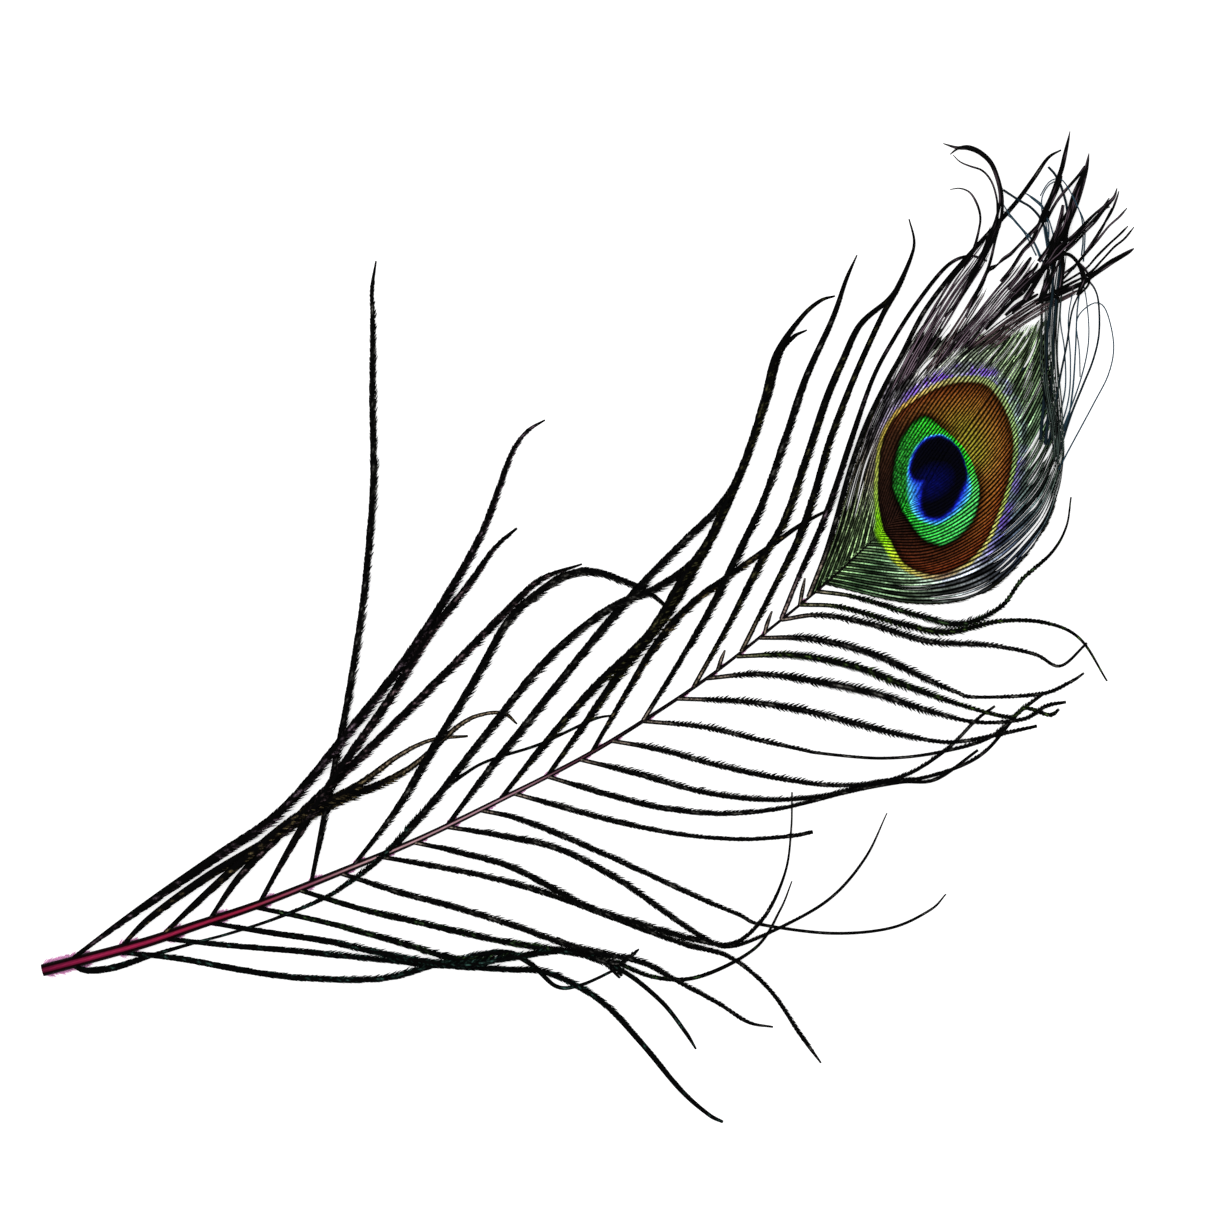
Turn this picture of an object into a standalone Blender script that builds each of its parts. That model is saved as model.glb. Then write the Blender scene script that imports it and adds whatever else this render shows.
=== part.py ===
"""A peacock's train feather, cut short and lying flat: quill, loose barbs, the eye and its plume.

The feather grew as one piece, so it is one solid. The quill's straight line from its cut end to the
plume's tip runs along +X, the feather's upper face looks up, and its underside lies on Z = 0.
"""

import math

import bmesh
import bpy
from mathutils import Matrix, Vector

# Sizes, in metres
FEATHER_LENGTH = 0.300  # straight from the cut end of the quill to the tip of the plume
QUILL_ACROSS_CUT = 0.0028
QUILL_ACROSS_EYE = 0.0009
QUILL_SLIMMING = 1.25  # above 1, the quill slims fastest near its cut end
BARB_FLATNESS = 0.42  # height of a barb over its width
ROOT_WIDTH_SHARE = 0.55  # a barb is this much of its full width where it leaves the quill
ROOT_SWELLING = 2.5  # how fast it swells from there, in full widths over its whole length
TAPER_START = 0.6  # it slims from this share of its length to its tip
TAPER_POWER = 1.6
TIP_WIDTH = 0.00035
ROOT_ON_QUILL = 0.9  # a root's height, in half widths of the quill there
VANE_THICKNESS = 0.0005
VANE_PLEAT = 0.00018  # how far the vane's ridges and furrows stand off its middle
VANE_HEIGHT_AT_QUILL = 0.0003  # from the table to the vane's underside
VANE_HEIGHT_AT_RIM = 0.0006
VANE_ARCH = 0.0008
VANE_SLIT = 0.0003  # from the quill's centre line to the vane's edge beside it
ROUND_UNDER = math.radians(50)  # edges that turn less than this are shaded round

# How finely the shapes are cut
QUILL_SIDES = 8
BARB_SIDES = 4
QUILL_STATIONS = 24
VANE_ROWS = 9
STATION_SPACING = 0.0085  # along a barb
FEWEST_STATIONS = 5
CURVE_STEPS = 16  # places on a smooth curve from each of its points to the next

# Where things lie: pixels of the photograph, which looks straight down on the feather
CUT_END_PX = (43, 970)
PLUME_TIP_PX = (1130, 235)
MIDDLE_PX = (623.3, 645.0)  # the middle of the feather's outline, which is the origin

QUILL_PX = (
    (43, 970), (100, 954), (150, 941), (200, 925), (260, 905), (340, 873), (420, 839), (500, 799),
    (580, 758), (643, 720), (712, 674), (781, 620), (833, 577), (880, 533), (910, 504), (940, 468),
)

# Each barb's width in pixels, its lift in millimetres, then its route from the quill to its tip
LOWER_BARBS = (
    (6, 1.0, ((72, 968), (110, 968), (150, 956), (200, 942), (270, 921), (320, 899), (361, 873), (395, 841),
              (435, 797), (485, 760), (540, 744), (592, 720), (613, 716))),
    (7, 1.6, ((118, 955), (180, 958), (240, 969), (300, 977), (380, 978), (440, 963), (500, 952), (530, 963),
              (565, 989), (600, 980), (640, 951))),
    (7, 0.8, ((165, 941), (230, 945), (300, 951), (370, 958), (440, 965), (510, 969), (550, 973), (600, 1000),
              (640, 1041), (680, 1089), (723, 1122))),
    (7, 2.2, ((210, 926), (270, 932), (330, 941), (400, 956), (460, 964), (510, 957), (570, 951), (620, 969),
              (660, 1000), (696, 1049))),
    (7, 1.4, ((257, 909), (330, 923), (400, 942), (460, 959), (510, 957), (560, 950), (610, 960), (655, 977),
              (700, 976), (755, 948), (780, 910), (792, 881))),
    (7, 2.8, ((300, 892), (360, 908), (430, 924), (500, 940), (560, 950), (600, 960), (620, 978))),
    (7, 1.9, ((340, 875), (400, 892), (460, 908), (520, 927), (580, 948), (640, 961), (680, 982), (720, 1004),
              (748, 1022), (773, 1027))),
    (7, 1.2, ((380, 858), (430, 865), (490, 877), (550, 894), (610, 916), (680, 942), (730, 957), (770, 990),
              (800, 1034), (821, 1063))),
    (7, 2.4, ((414, 843), (460, 852), (510, 866), (550, 886), (590, 907), (640, 923), (700, 940), (735, 942),
              (765, 915), (785, 872), (792, 792))),
    (7, 1.7, ((447, 828), (500, 835), (560, 849), (620, 880), (660, 908), (700, 935), (730, 946), (780, 927),
              (830, 898), (865, 858), (887, 813))),
    (7, 0.9, ((484, 811), (520, 819), (580, 843), (640, 870), (700, 898), (760, 924), (830, 933), (890, 928),
              (930, 910), (946, 894))),
    (7, 1.5, ((515, 794), (560, 806), (620, 822), (680, 834), (740, 839), (813, 832))),
    (7, 2.1, ((548, 778), (600, 792), (660, 807), (720, 813), (780, 808), (850, 791), (900, 782), (936, 779),
              (978, 750))),
    (7, 1.1, ((579, 760), (640, 774), (700, 791), (760, 799), (820, 796), (880, 781), (926, 777), (979, 756),
              (1016, 716))),
    (7, 1.8, ((612, 742), (659, 749), (719, 765), (780, 778), (840, 785), (899, 777), (944, 751), (976, 720),
              (995, 706))),
    (7, 1.3, ((645, 721), (706, 727), (760, 740), (820, 753), (880, 758), (934, 753), (988, 738), (1020, 711),
              (1043, 694))),
    (7, 2.0, ((679, 698), (740, 701), (798, 709), (851, 722), (899, 734), (947, 742), (990, 736), (1037, 726))),
    (7, 1.5, ((709, 677), (760, 674), (820, 682), (877, 694), (926, 710), (976, 722), (1023, 719), (1046, 706),
              (1066, 702))),
    (7, 0.9, ((740, 656), (793, 655), (853, 666), (899, 683), (955, 703), (1008, 717), (1025, 708), (1050, 715),
              (1059, 709))),
    (7, 1.7, ((760, 638), (813, 639), (873, 654), (926, 679), (985, 698), (1040, 694), (1084, 673))),
    (7, 1.2, ((782, 619), (820, 614), (870, 623), (926, 641), (988, 645), (1034, 654), (1060, 666), (1087, 643))),
    (7, 0.8, ((800, 604), (841, 608), (898, 625), (946, 632), (1000, 621), (1046, 623), (1080, 639), (1107, 681))),
    (6, 1.4, ((815, 592), (855, 598), (916, 616), (960, 624), (1000, 607), (1021, 580), (1051, 553), (1066, 527),
              (1071, 497))),
)

UPPER_BARBS = (
    (8, 1.6, ((68, 959), (115, 927), (165, 892), (219, 855), (283, 810), (345, 737), (399, 669), (445, 600),
              (479, 540), (495, 500), (509, 460), (519, 441), (530, 429), (545, 420))),
    (7, 0.9, ((118, 944), (150, 918), (204, 879), (259, 846), (330, 806), (406, 771), (459, 726), (485, 714),
              (505, 714), (517, 724))),
    (7, 1.9, ((162, 931), (204, 896), (253, 852), (300, 815), (356, 787), (399, 756), (432, 740), (468, 736))),
    (7, 1.2, ((210, 917), (243, 873), (300, 815), (349, 769), (399, 720), (452, 667), (505, 613), (540, 580),
              (582, 564))),
    (8, 2.2, ((259, 900), (300, 832), (344, 765), (393, 695), (430, 635), (468, 586), (495, 548), (517, 528))),
    (8, 1.4, ((308, 881), (324, 822), (341, 739), (354, 667), (364, 600), (370, 540), (374, 480), (373, 400),
              (373, 320), (372, 290), (376, 261))),
    (8, 0.8, ((354, 864), (398, 808), (432, 751), (474, 682), (508, 622), (540, 592), (566, 576), (593, 572),
              (633, 585), (659, 600), (672, 616))),
    (8, 1.9, ((390, 851), (435, 800), (485, 736), (546, 661), (606, 611), (659, 587), (700, 556), (722, 512))),
    (8, 1.2, ((447, 825), (487, 773), (529, 721), (593, 641), (638, 589), (686, 540), (714, 513), (733, 487),
              (749, 452), (768, 400), (779, 358), (792, 338), (807, 330))),
    (8, 2.3, ((500, 798), (544, 745), (595, 687), (649, 634), (686, 573), (707, 544), (727, 502), (748, 452),
              (764, 400), (776, 355), (801, 318), (820, 301), (835, 296))),
    (8, 1.6, ((545, 776), (585, 724), (622, 671), (665, 618), (699, 566), (722, 524), (739, 487), (752, 455))),
    (8, 0.9, ((593, 750), (623, 699), (656, 645), (692, 604), (735, 572), (775, 543), (802, 524), (832, 508))),
    (8, 1.8, ((643, 719), (682, 658), (715, 601), (745, 540), (764, 500), (785, 440), (805, 380), (832, 320),
              (846, 280), (857, 255))),
    (8, 1.3, ((691, 687), (728, 626), (760, 564), (785, 520), (806, 460), (826, 400), (843, 360), (860, 325),
              (887, 301), (900, 284))),
    (8, 2.0, ((740, 652), (774, 588), (798, 540), (814, 495), (830, 440), (853, 380), (880, 320), (898, 287),
              (911, 257), (914, 240), (909, 219))),
    (8, 1.5, ((781, 618), (801, 572), (822, 525), (838, 480), (851, 440), (872, 380), (893, 340), (919, 300),
              (947, 266), (969, 256), (987, 261))),
    (7, 1.0, ((808, 596), (824, 558), (836, 520), (848, 480), (859, 440), (875, 400), (890, 365), (912, 328),
              (945, 283), (970, 254), (999, 222), (1018, 200), (1034, 178), (1048, 158), (1061, 150))),
)

# Short barbs that broke off near the quill
STUBS = (
    (4, 0.4, ((717, 670), (721, 660), (725, 650))),
    (4, 0.4, ((763, 636), (767, 624), (772, 611))),
    (4, 0.4, ((799, 606), (802, 592), (805, 578))),
)

# The plume: tines that grow on from the vane, with their routes from inside it to their tips
PLUME = (
    (5, 0.9, ((935, 315), (965, 268), (977, 246), (980, 224), (976, 203), (966, 191), (956, 188), (950, 190))),
    (10, 1.4, ((935, 340), (965, 288), (986, 250), (999, 215), (1000, 190), (994, 172), (982, 156), (966, 148),
               (952, 146), (942, 143))),
    (3, 0.9, ((972, 149), (960, 149), (949, 155))),
    (6, 1.9, ((950, 330), (975, 290), (990, 255), (996, 228), (996, 200), (990, 182), (979, 170), (965, 165),
              (957, 160), (952, 154))),
    (8, 0.7, ((945, 345), (975, 300), (990, 262), (999, 225), (1003, 205), (1002, 188))),
    (6, 1.3, ((965, 345), (990, 310), (1003, 265), (1016, 250), (1031, 232))),
    (9, 1.7, ((970, 350), (1002, 290), (1030, 243), (1047, 213), (1057, 187), (1065, 158), (1070, 131))),
    (10, 1.1, ((980, 352), (1020, 285), (1044, 245), (1064, 210), (1079, 185), (1086, 166), (1089, 153))),
    (10, 0.8, ((985, 350), (1030, 275), (1055, 250), (1080, 230), (1100, 212), (1112, 199), (1116, 190))),
    (6, 2.0, ((1000, 350), (1040, 285), (1075, 252), (1097, 233), (1110, 213), (1118, 191))),
    (6, 1.4, ((1010, 352), (1040, 300), (1065, 275), (1092, 247), (1113, 225), (1127, 208))),
    (6, 0.9, ((1020, 352), (1050, 302), (1080, 272), (1103, 249), (1119, 234), (1128, 226))),
    (6, 1.7, ((1028, 352), (1055, 308), (1082, 282), (1105, 256), (1128, 236), (1134, 227))),
    (9, 1.2, ((975, 342), (1005, 320), (1045, 300), (1083, 279), (1106, 265), (1134, 249))),
)

# Fine hairs that leave the vane's right side and loop back over the plume
HAIRS = (
    (3, 1.2, ((1058, 470), (1070, 447), (1093, 404), (1108, 374), (1113, 345), (1106, 312), (1096, 303),
              (1082, 311), (1076, 324), (1079, 350), (1080, 377))),
    (4, 1.8, ((1056, 462), (1069, 419), (1082, 386), (1092, 361), (1098, 335), (1098, 305), (1094, 289),
              (1084, 276), (1078, 262), (1070, 255), (1062, 256))),
    (4, 0.9, ((1052, 450), (1066, 424), (1072, 392), (1075, 350), (1077, 310), (1082, 278))),
    (4, 1.5, ((1048, 445), (1059, 380), (1066, 345), (1072, 310), (1084, 284))),
    (7, 1.3, ((1040, 440), (1045, 380), (1047, 330), (1052, 290), (1050, 255), (1043, 225), (1032, 209),
              (1018, 200), (1003, 190))),
    (7, 0.8, ((1045, 445), (1052, 370), (1054, 320), (1058, 280), (1062, 250), (1067, 215), (1062, 190),
              (1055, 175), (1048, 167))),
)

# The vane around the eye: ridge lines from the quill to the rim, from its left edge round to its right
VANE_LEFT = (
    ((815, 590), (836, 535), (853, 475), (873, 418), (904, 356), (930, 318)),
    ((828, 579), (849, 522), (866, 460), (893, 398), (925, 350), (945, 322)),
    ((842, 566), (862, 508), (881, 443), (915, 385), (945, 350), (962, 330)),
    ((855, 555), (873, 493), (900, 426), (940, 372), (965, 348), (980, 333)),
    ((869, 542), (887, 478), (928, 408), (965, 362), (985, 345), (998, 334)),
    ((882, 531), (906, 473), (950, 413), (988, 365), (1003, 348), (1014, 336)),
    ((906, 508), (934, 458), (975, 405), (1006, 362), (1018, 348), (1026, 337)),
    ((935, 475), (955, 443), (985, 400), (1010, 365), (1024, 348), (1035, 335)),
)
VANE_RIGHT = (
    ((920, 493), (950, 468), (985, 425), (1010, 385), (1029, 358), (1043, 338)),
    ((906, 508), (945, 488), (985, 450), (1015, 405), (1034, 370), (1048, 345)),
    ((893, 521), (940, 508), (985, 470), (1018, 425), (1038, 388), (1052, 355)),
    ((881, 532), (935, 525), (985, 488), (1020, 445), (1042, 405), (1055, 372)),
    ((868, 543), (930, 543), (985, 513), (1024, 465), (1047, 423), (1058, 392)),
    ((854, 556), (925, 563), (985, 540), (1028, 490), (1052, 443), (1061, 415)),
    ((838, 570), (920, 582), (985, 567), (1033, 512), (1056, 463), (1064, 438)),
    ((824, 583), (915, 602), (985, 590), (1038, 537), (1058, 490), (1064, 455)),
)

MM = 0.001
RISE_PX = Vector(PLUME_TIP_PX) - Vector(CUT_END_PX)
PIXEL = FEATHER_LENGTH / RISE_PX.length
SLANT = math.atan2(-RISE_PX.y, RISE_PX.x)


def on_table(pixel):
    """The place of a pixel on the table, with the feather's length along X."""
    right = (pixel[0] - MIDDLE_PX[0]) * PIXEL
    up = (MIDDLE_PX[1] - pixel[1]) * PIXEL
    return Vector((right, up, 0)) @ Matrix.Rotation(SLANT, 3, "Z")


def between(before, start, end, after, share):
    """A point on the smooth curve through four points, part of the way from start to end."""
    straight = end - start
    leaving = (end - before) / 2
    arriving = (after - start) / 2
    bend = share * share * (3 - 2 * share)
    return (
        start
        + straight * bend
        + leaving * (share * (1 - share) ** 2)
        - arriving * (share * share * (1 - share))
    )


def smooth_route(points, stations):
    """Evenly spaced places along the smooth curve through the points."""
    ends = [2 * points[0] - points[1], *points, 2 * points[-1] - points[-2]]
    fine = [points[0]]
    for index in range(1, len(ends) - 2):
        for step in range(1, CURVE_STEPS + 1):
            fine.append(between(*ends[index - 1 : index + 3], step / CURVE_STEPS))
    reached = [0.0]
    for here, there in zip(fine, fine[1:]):
        reached.append(reached[-1] + (there - here).length)
    route = []
    at = 0
    for station in range(stations):
        wanted = reached[-1] * station / (stations - 1)
        while at < len(fine) - 2 and reached[at + 1] < wanted:
            at += 1
        share = (wanted - reached[at]) / (reached[at + 1] - reached[at])
        route.append(fine[at].lerp(fine[at + 1], share))
    return route


def directions(route):
    """The way the route runs at each of its places."""
    ahead = [*route[1:], route[-1]]
    behind = [route[0], *route[:-1]]
    return [(there - here).normalized() for here, there in zip(behind, ahead)]


def swept(name, route, half_widths, half_heights, sides, turn=0.0):
    """A closed solid: a flattened ring carried along the route, kept level from side to side."""
    places = []
    for centre, along, wide, high in zip(route, directions(route), half_widths, half_heights):
        across = Vector((-along.y, along.x, 0)).normalized()
        columns = (across * wide, Vector((0, 0, high)), along, centre)
        places.append(Matrix([(*column, 0) for column in columns]).transposed())
        places[-1][3][3] = 1
    solid = bmesh.new()
    ring = bmesh.ops.create_circle(solid, cap_ends=True, segments=sides, radius=1)["verts"]
    bmesh.ops.rotate(solid, verts=ring, matrix=Matrix.Rotation(turn, 3, "Z"))
    bmesh.ops.transform(solid, matrix=places[0], verts=ring)
    first_cap = cap = next(iter(solid.faces))
    for before, place in zip(places, places[1:]):
        moved = bmesh.ops.extrude_face_region(solid, geom=[cap])["geom"]
        if cap is not first_cap:
            bmesh.ops.delete(solid, geom=[cap], context="FACES_ONLY")
        cap = next(piece for piece in moved if isinstance(piece, bmesh.types.BMFace))
        bmesh.ops.transform(solid, matrix=place @ before.inverted(), verts=cap.verts)
    bmesh.ops.recalc_face_normals(solid, faces=solid.faces)
    mesh = bpy.data.meshes.new(name)
    solid.to_mesh(mesh)
    solid.free()
    mesh.shade_smooth()
    mesh.set_sharp_from_angle(angle=ROUND_UNDER)
    return bpy.data.objects.new(name, mesh)


def quill_radius(share):
    """The quill's half width, a share of the way from its cut end to its fine end in the eye."""
    slimming = (1 - share) ** QUILL_SLIMMING
    return (QUILL_ACROSS_EYE + (QUILL_ACROSS_CUT - QUILL_ACROSS_EYE) * slimming) / 2


def make_quill():
    """The quill lies on one flat side of its ring, all along Z = 0."""
    flat = math.cos(math.pi / QUILL_SIDES)
    route = smooth_route([on_table(pixel) for pixel in QUILL_PX], QUILL_STATIONS)
    radii = [quill_radius(station / (QUILL_STATIONS - 1)) for station in range(QUILL_STATIONS)]
    for place, radius in zip(route, radii):
        place.z = radius * flat
    return swept("feather", route, radii, radii, QUILL_SIDES, math.pi / QUILL_SIDES)


def barb_profile(along, width):
    """A barb's width: slim where it leaves the quill, full in its middle, fine at its tip."""
    swell = min(1.0, ROOT_WIDTH_SHARE + along * ROOT_SWELLING)
    taper = 1 - max(0.0, (along - TAPER_START) / (1 - TAPER_START)) ** TAPER_POWER
    return max(TIP_WIDTH, width * swell * taper)


def make_barb(name, width_px, lift_mm, pixels, root_height):
    """One barb: it leaves the quill, arches a little and comes down to the table at its tip."""
    points = [on_table(pixel) for pixel in pixels]
    length = sum((there - here).length for here, there in zip(points, points[1:]))
    stations = max(FEWEST_STATIONS, round(length / STATION_SPACING) + 1)
    route = smooth_route(points, stations)
    half_widths = []
    for station, place in enumerate(route):
        along = station / (stations - 1)
        half_widths.append(barb_profile(along, width_px * PIXEL) / 2)
        arch = lift_mm * MM * math.sin(math.pi * along)
        place.z = half_widths[-1] * BARB_FLATNESS + arch + root_height * (1 - along) ** 2
    half_heights = [wide * BARB_FLATNESS for wide in half_widths]
    return swept(name, route, half_widths, half_heights, BARB_SIDES)


def height_on_quill(pixel):
    """How high a barb leaves the quill at a pixel."""
    quill = [on_table(point) for point in QUILL_PX]
    here = on_table(pixel)
    nearest = min(range(len(quill)), key=lambda index: (quill[index] - here).length)
    return quill_radius(nearest / (len(quill) - 1)) * ROOT_ON_QUILL


def make_barbs():
    """Every loose barb, the plume's tines and the hairs, whose roots are in the quill or the vane's rim."""
    barbs = []
    for group, routes in (("lower", LOWER_BARBS), ("upper", UPPER_BARBS), ("stub", STUBS)):
        for number, (width, lift, pixels) in enumerate(routes):
            root = height_on_quill(pixels[0])
            barbs.append(make_barb(f"{group}_barb_{number}", width, lift, pixels, root))
    for group, routes in (("plume", PLUME), ("hair", HAIRS)):
        for number, (width, lift, pixels) in enumerate(routes):
            barbs.append(make_barb(f"{group}_{number}", width, lift, pixels, VANE_HEIGHT_AT_RIM))
    return barbs


def vane_lines():
    """The ridge lines, with a furrow half way between each two, left edge to right edge."""
    quill_way = (on_table(QUILL_PX[-1]) - on_table(QUILL_PX[-4])).normalized()
    aside = Vector((-quill_way.y, quill_way.x, 0)) * VANE_SLIT
    ridges = []
    for lines, offset in ((VANE_LEFT, aside), (VANE_RIGHT, -aside)):
        for pixels in lines:
            points = [on_table(pixel) for pixel in pixels]
            points[0] += offset
            ridges.append(smooth_route(points, VANE_ROWS))
    lines = [ridges[0]]
    for left, right in zip(ridges, ridges[1:]):
        lines.append([here.lerp(there, 0.5) for here, there in zip(left, right)])
        lines.append(right)
    return lines


def make_vane():
    """The closed web around the eye: a pleated sheet given its thickness."""
    lines = vane_lines()
    sheet = bmesh.new()
    columns = []
    for number, line in enumerate(lines):
        pleat = VANE_PLEAT if number % 2 == 0 else -VANE_PLEAT
        column = []
        for row, place in enumerate(line):
            along = row / (VANE_ROWS - 1)
            height = VANE_HEIGHT_AT_QUILL + (VANE_HEIGHT_AT_RIM - VANE_HEIGHT_AT_QUILL) * along
            height += VANE_ARCH * math.sin(math.pi * along)
            column.append(sheet.verts.new((place.x, place.y, height + pleat)))
        columns.append(column)
    for left, right in zip(columns, columns[1:]):
        for row in range(VANE_ROWS - 1):
            sheet.faces.new((left[row], left[row + 1], right[row + 1], right[row]))
    sheet.normal_update()
    bmesh.ops.solidify(sheet, geom=sheet.faces[:], thickness=VANE_THICKNESS)
    bmesh.ops.recalc_face_normals(sheet, faces=sheet.faces)
    mesh = bpy.data.meshes.new("vane")
    sheet.to_mesh(mesh)
    sheet.free()
    return bpy.data.objects.new("vane", mesh)


def keratin():
    """Near-black barbs with a green-brown gloss, the colour that most of the feather has."""
    material = bpy.data.materials.new("barb_keratin")
    material.use_nodes = True
    shader = material.node_tree.nodes["Principled BSDF"]
    shader.inputs["Base Color"].default_value = (0.012, 0.014, 0.010, 1)
    shader.inputs["Roughness"].default_value = 0.55
    shader.inputs["Metallic"].default_value = 0.0
    return material


def main():
    """The quill, with everything else joined to it as one solid."""
    for leftover in list(bpy.data.objects):
        bpy.data.objects.remove(leftover)
    joined = bpy.data.collections.new("grown_together")
    bpy.context.scene.collection.children.link(joined)
    for piece in (*make_barbs(), make_vane()):
        piece.hide_render = True
        piece.display_type = "WIRE"
        joined.objects.link(piece)
    feather = make_quill()
    bpy.context.scene.collection.objects.link(feather)
    feather.data.materials.append(keratin())
    union = feather.modifiers.new("grown as one", "BOOLEAN")
    union.operation = "UNION"
    union.solver = "EXACT"
    union.operand_type = "COLLECTION"
    union.collection = joined


main()
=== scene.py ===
"""The looks of a peacock's train feather: its dyed quill, loose barbs with barbules, eye and plume.

Lengths are in metres. The frame's +X runs from the quill's cut end to the plume's tip, and +Z is up.
"""

import functools
import math

import bmesh
import bpy
import numpy as np
from bpy.props import FloatProperty, FloatVectorProperty, IntProperty, PointerProperty
from mathutils import Matrix, Vector


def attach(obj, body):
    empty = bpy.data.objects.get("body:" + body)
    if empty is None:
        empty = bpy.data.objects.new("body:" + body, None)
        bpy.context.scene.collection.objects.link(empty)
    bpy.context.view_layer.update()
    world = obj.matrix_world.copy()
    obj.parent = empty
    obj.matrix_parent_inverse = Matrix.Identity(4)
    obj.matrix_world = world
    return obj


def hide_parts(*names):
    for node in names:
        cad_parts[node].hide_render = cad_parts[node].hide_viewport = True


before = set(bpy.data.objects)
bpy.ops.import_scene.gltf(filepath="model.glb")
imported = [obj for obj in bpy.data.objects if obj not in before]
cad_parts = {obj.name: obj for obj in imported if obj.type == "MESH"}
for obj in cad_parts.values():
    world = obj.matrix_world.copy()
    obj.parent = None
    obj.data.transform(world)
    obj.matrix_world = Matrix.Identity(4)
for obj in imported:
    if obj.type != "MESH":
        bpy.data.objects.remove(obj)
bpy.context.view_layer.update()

bl_info = {
    "name": "Peacock feather",
    "version": (1, 0, 0),
    "blender": (4, 5, 0),
    "location": "3D View > Sidebar > Feather",
    "description": "Builds a peacock's train feather piece by piece",
    "category": "Add Mesh",
}

MM = 0.001
NODE = "feather"
BODY = "root"

# ---- Where things lie: pixels of the photograph, which looks straight down on the feather ----

PHOTO_WIDTH_PX = 1214
PHOTO_HEIGHT_PX = 1222
FEATHER_LENGTH = 0.300  # straight from the cut end of the quill to the tip of the plume
CUT_END_PX = (43, 970)
PLUME_TIP_PX = (1130, 235)
MIDDLE_PX = (623.3, 645.0)  # the middle of the feather's outline, which is the origin

QUILL_PX = (
    (43, 970), (100, 955), (150, 941), (200, 924), (260, 903.8), (340, 872), (420, 838.7), (500, 799.8),
    (580, 759), (643, 721), (712, 674.5), (781, 620), (833, 577), (880, 533), (910, 504), (940, 468),
)

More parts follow.
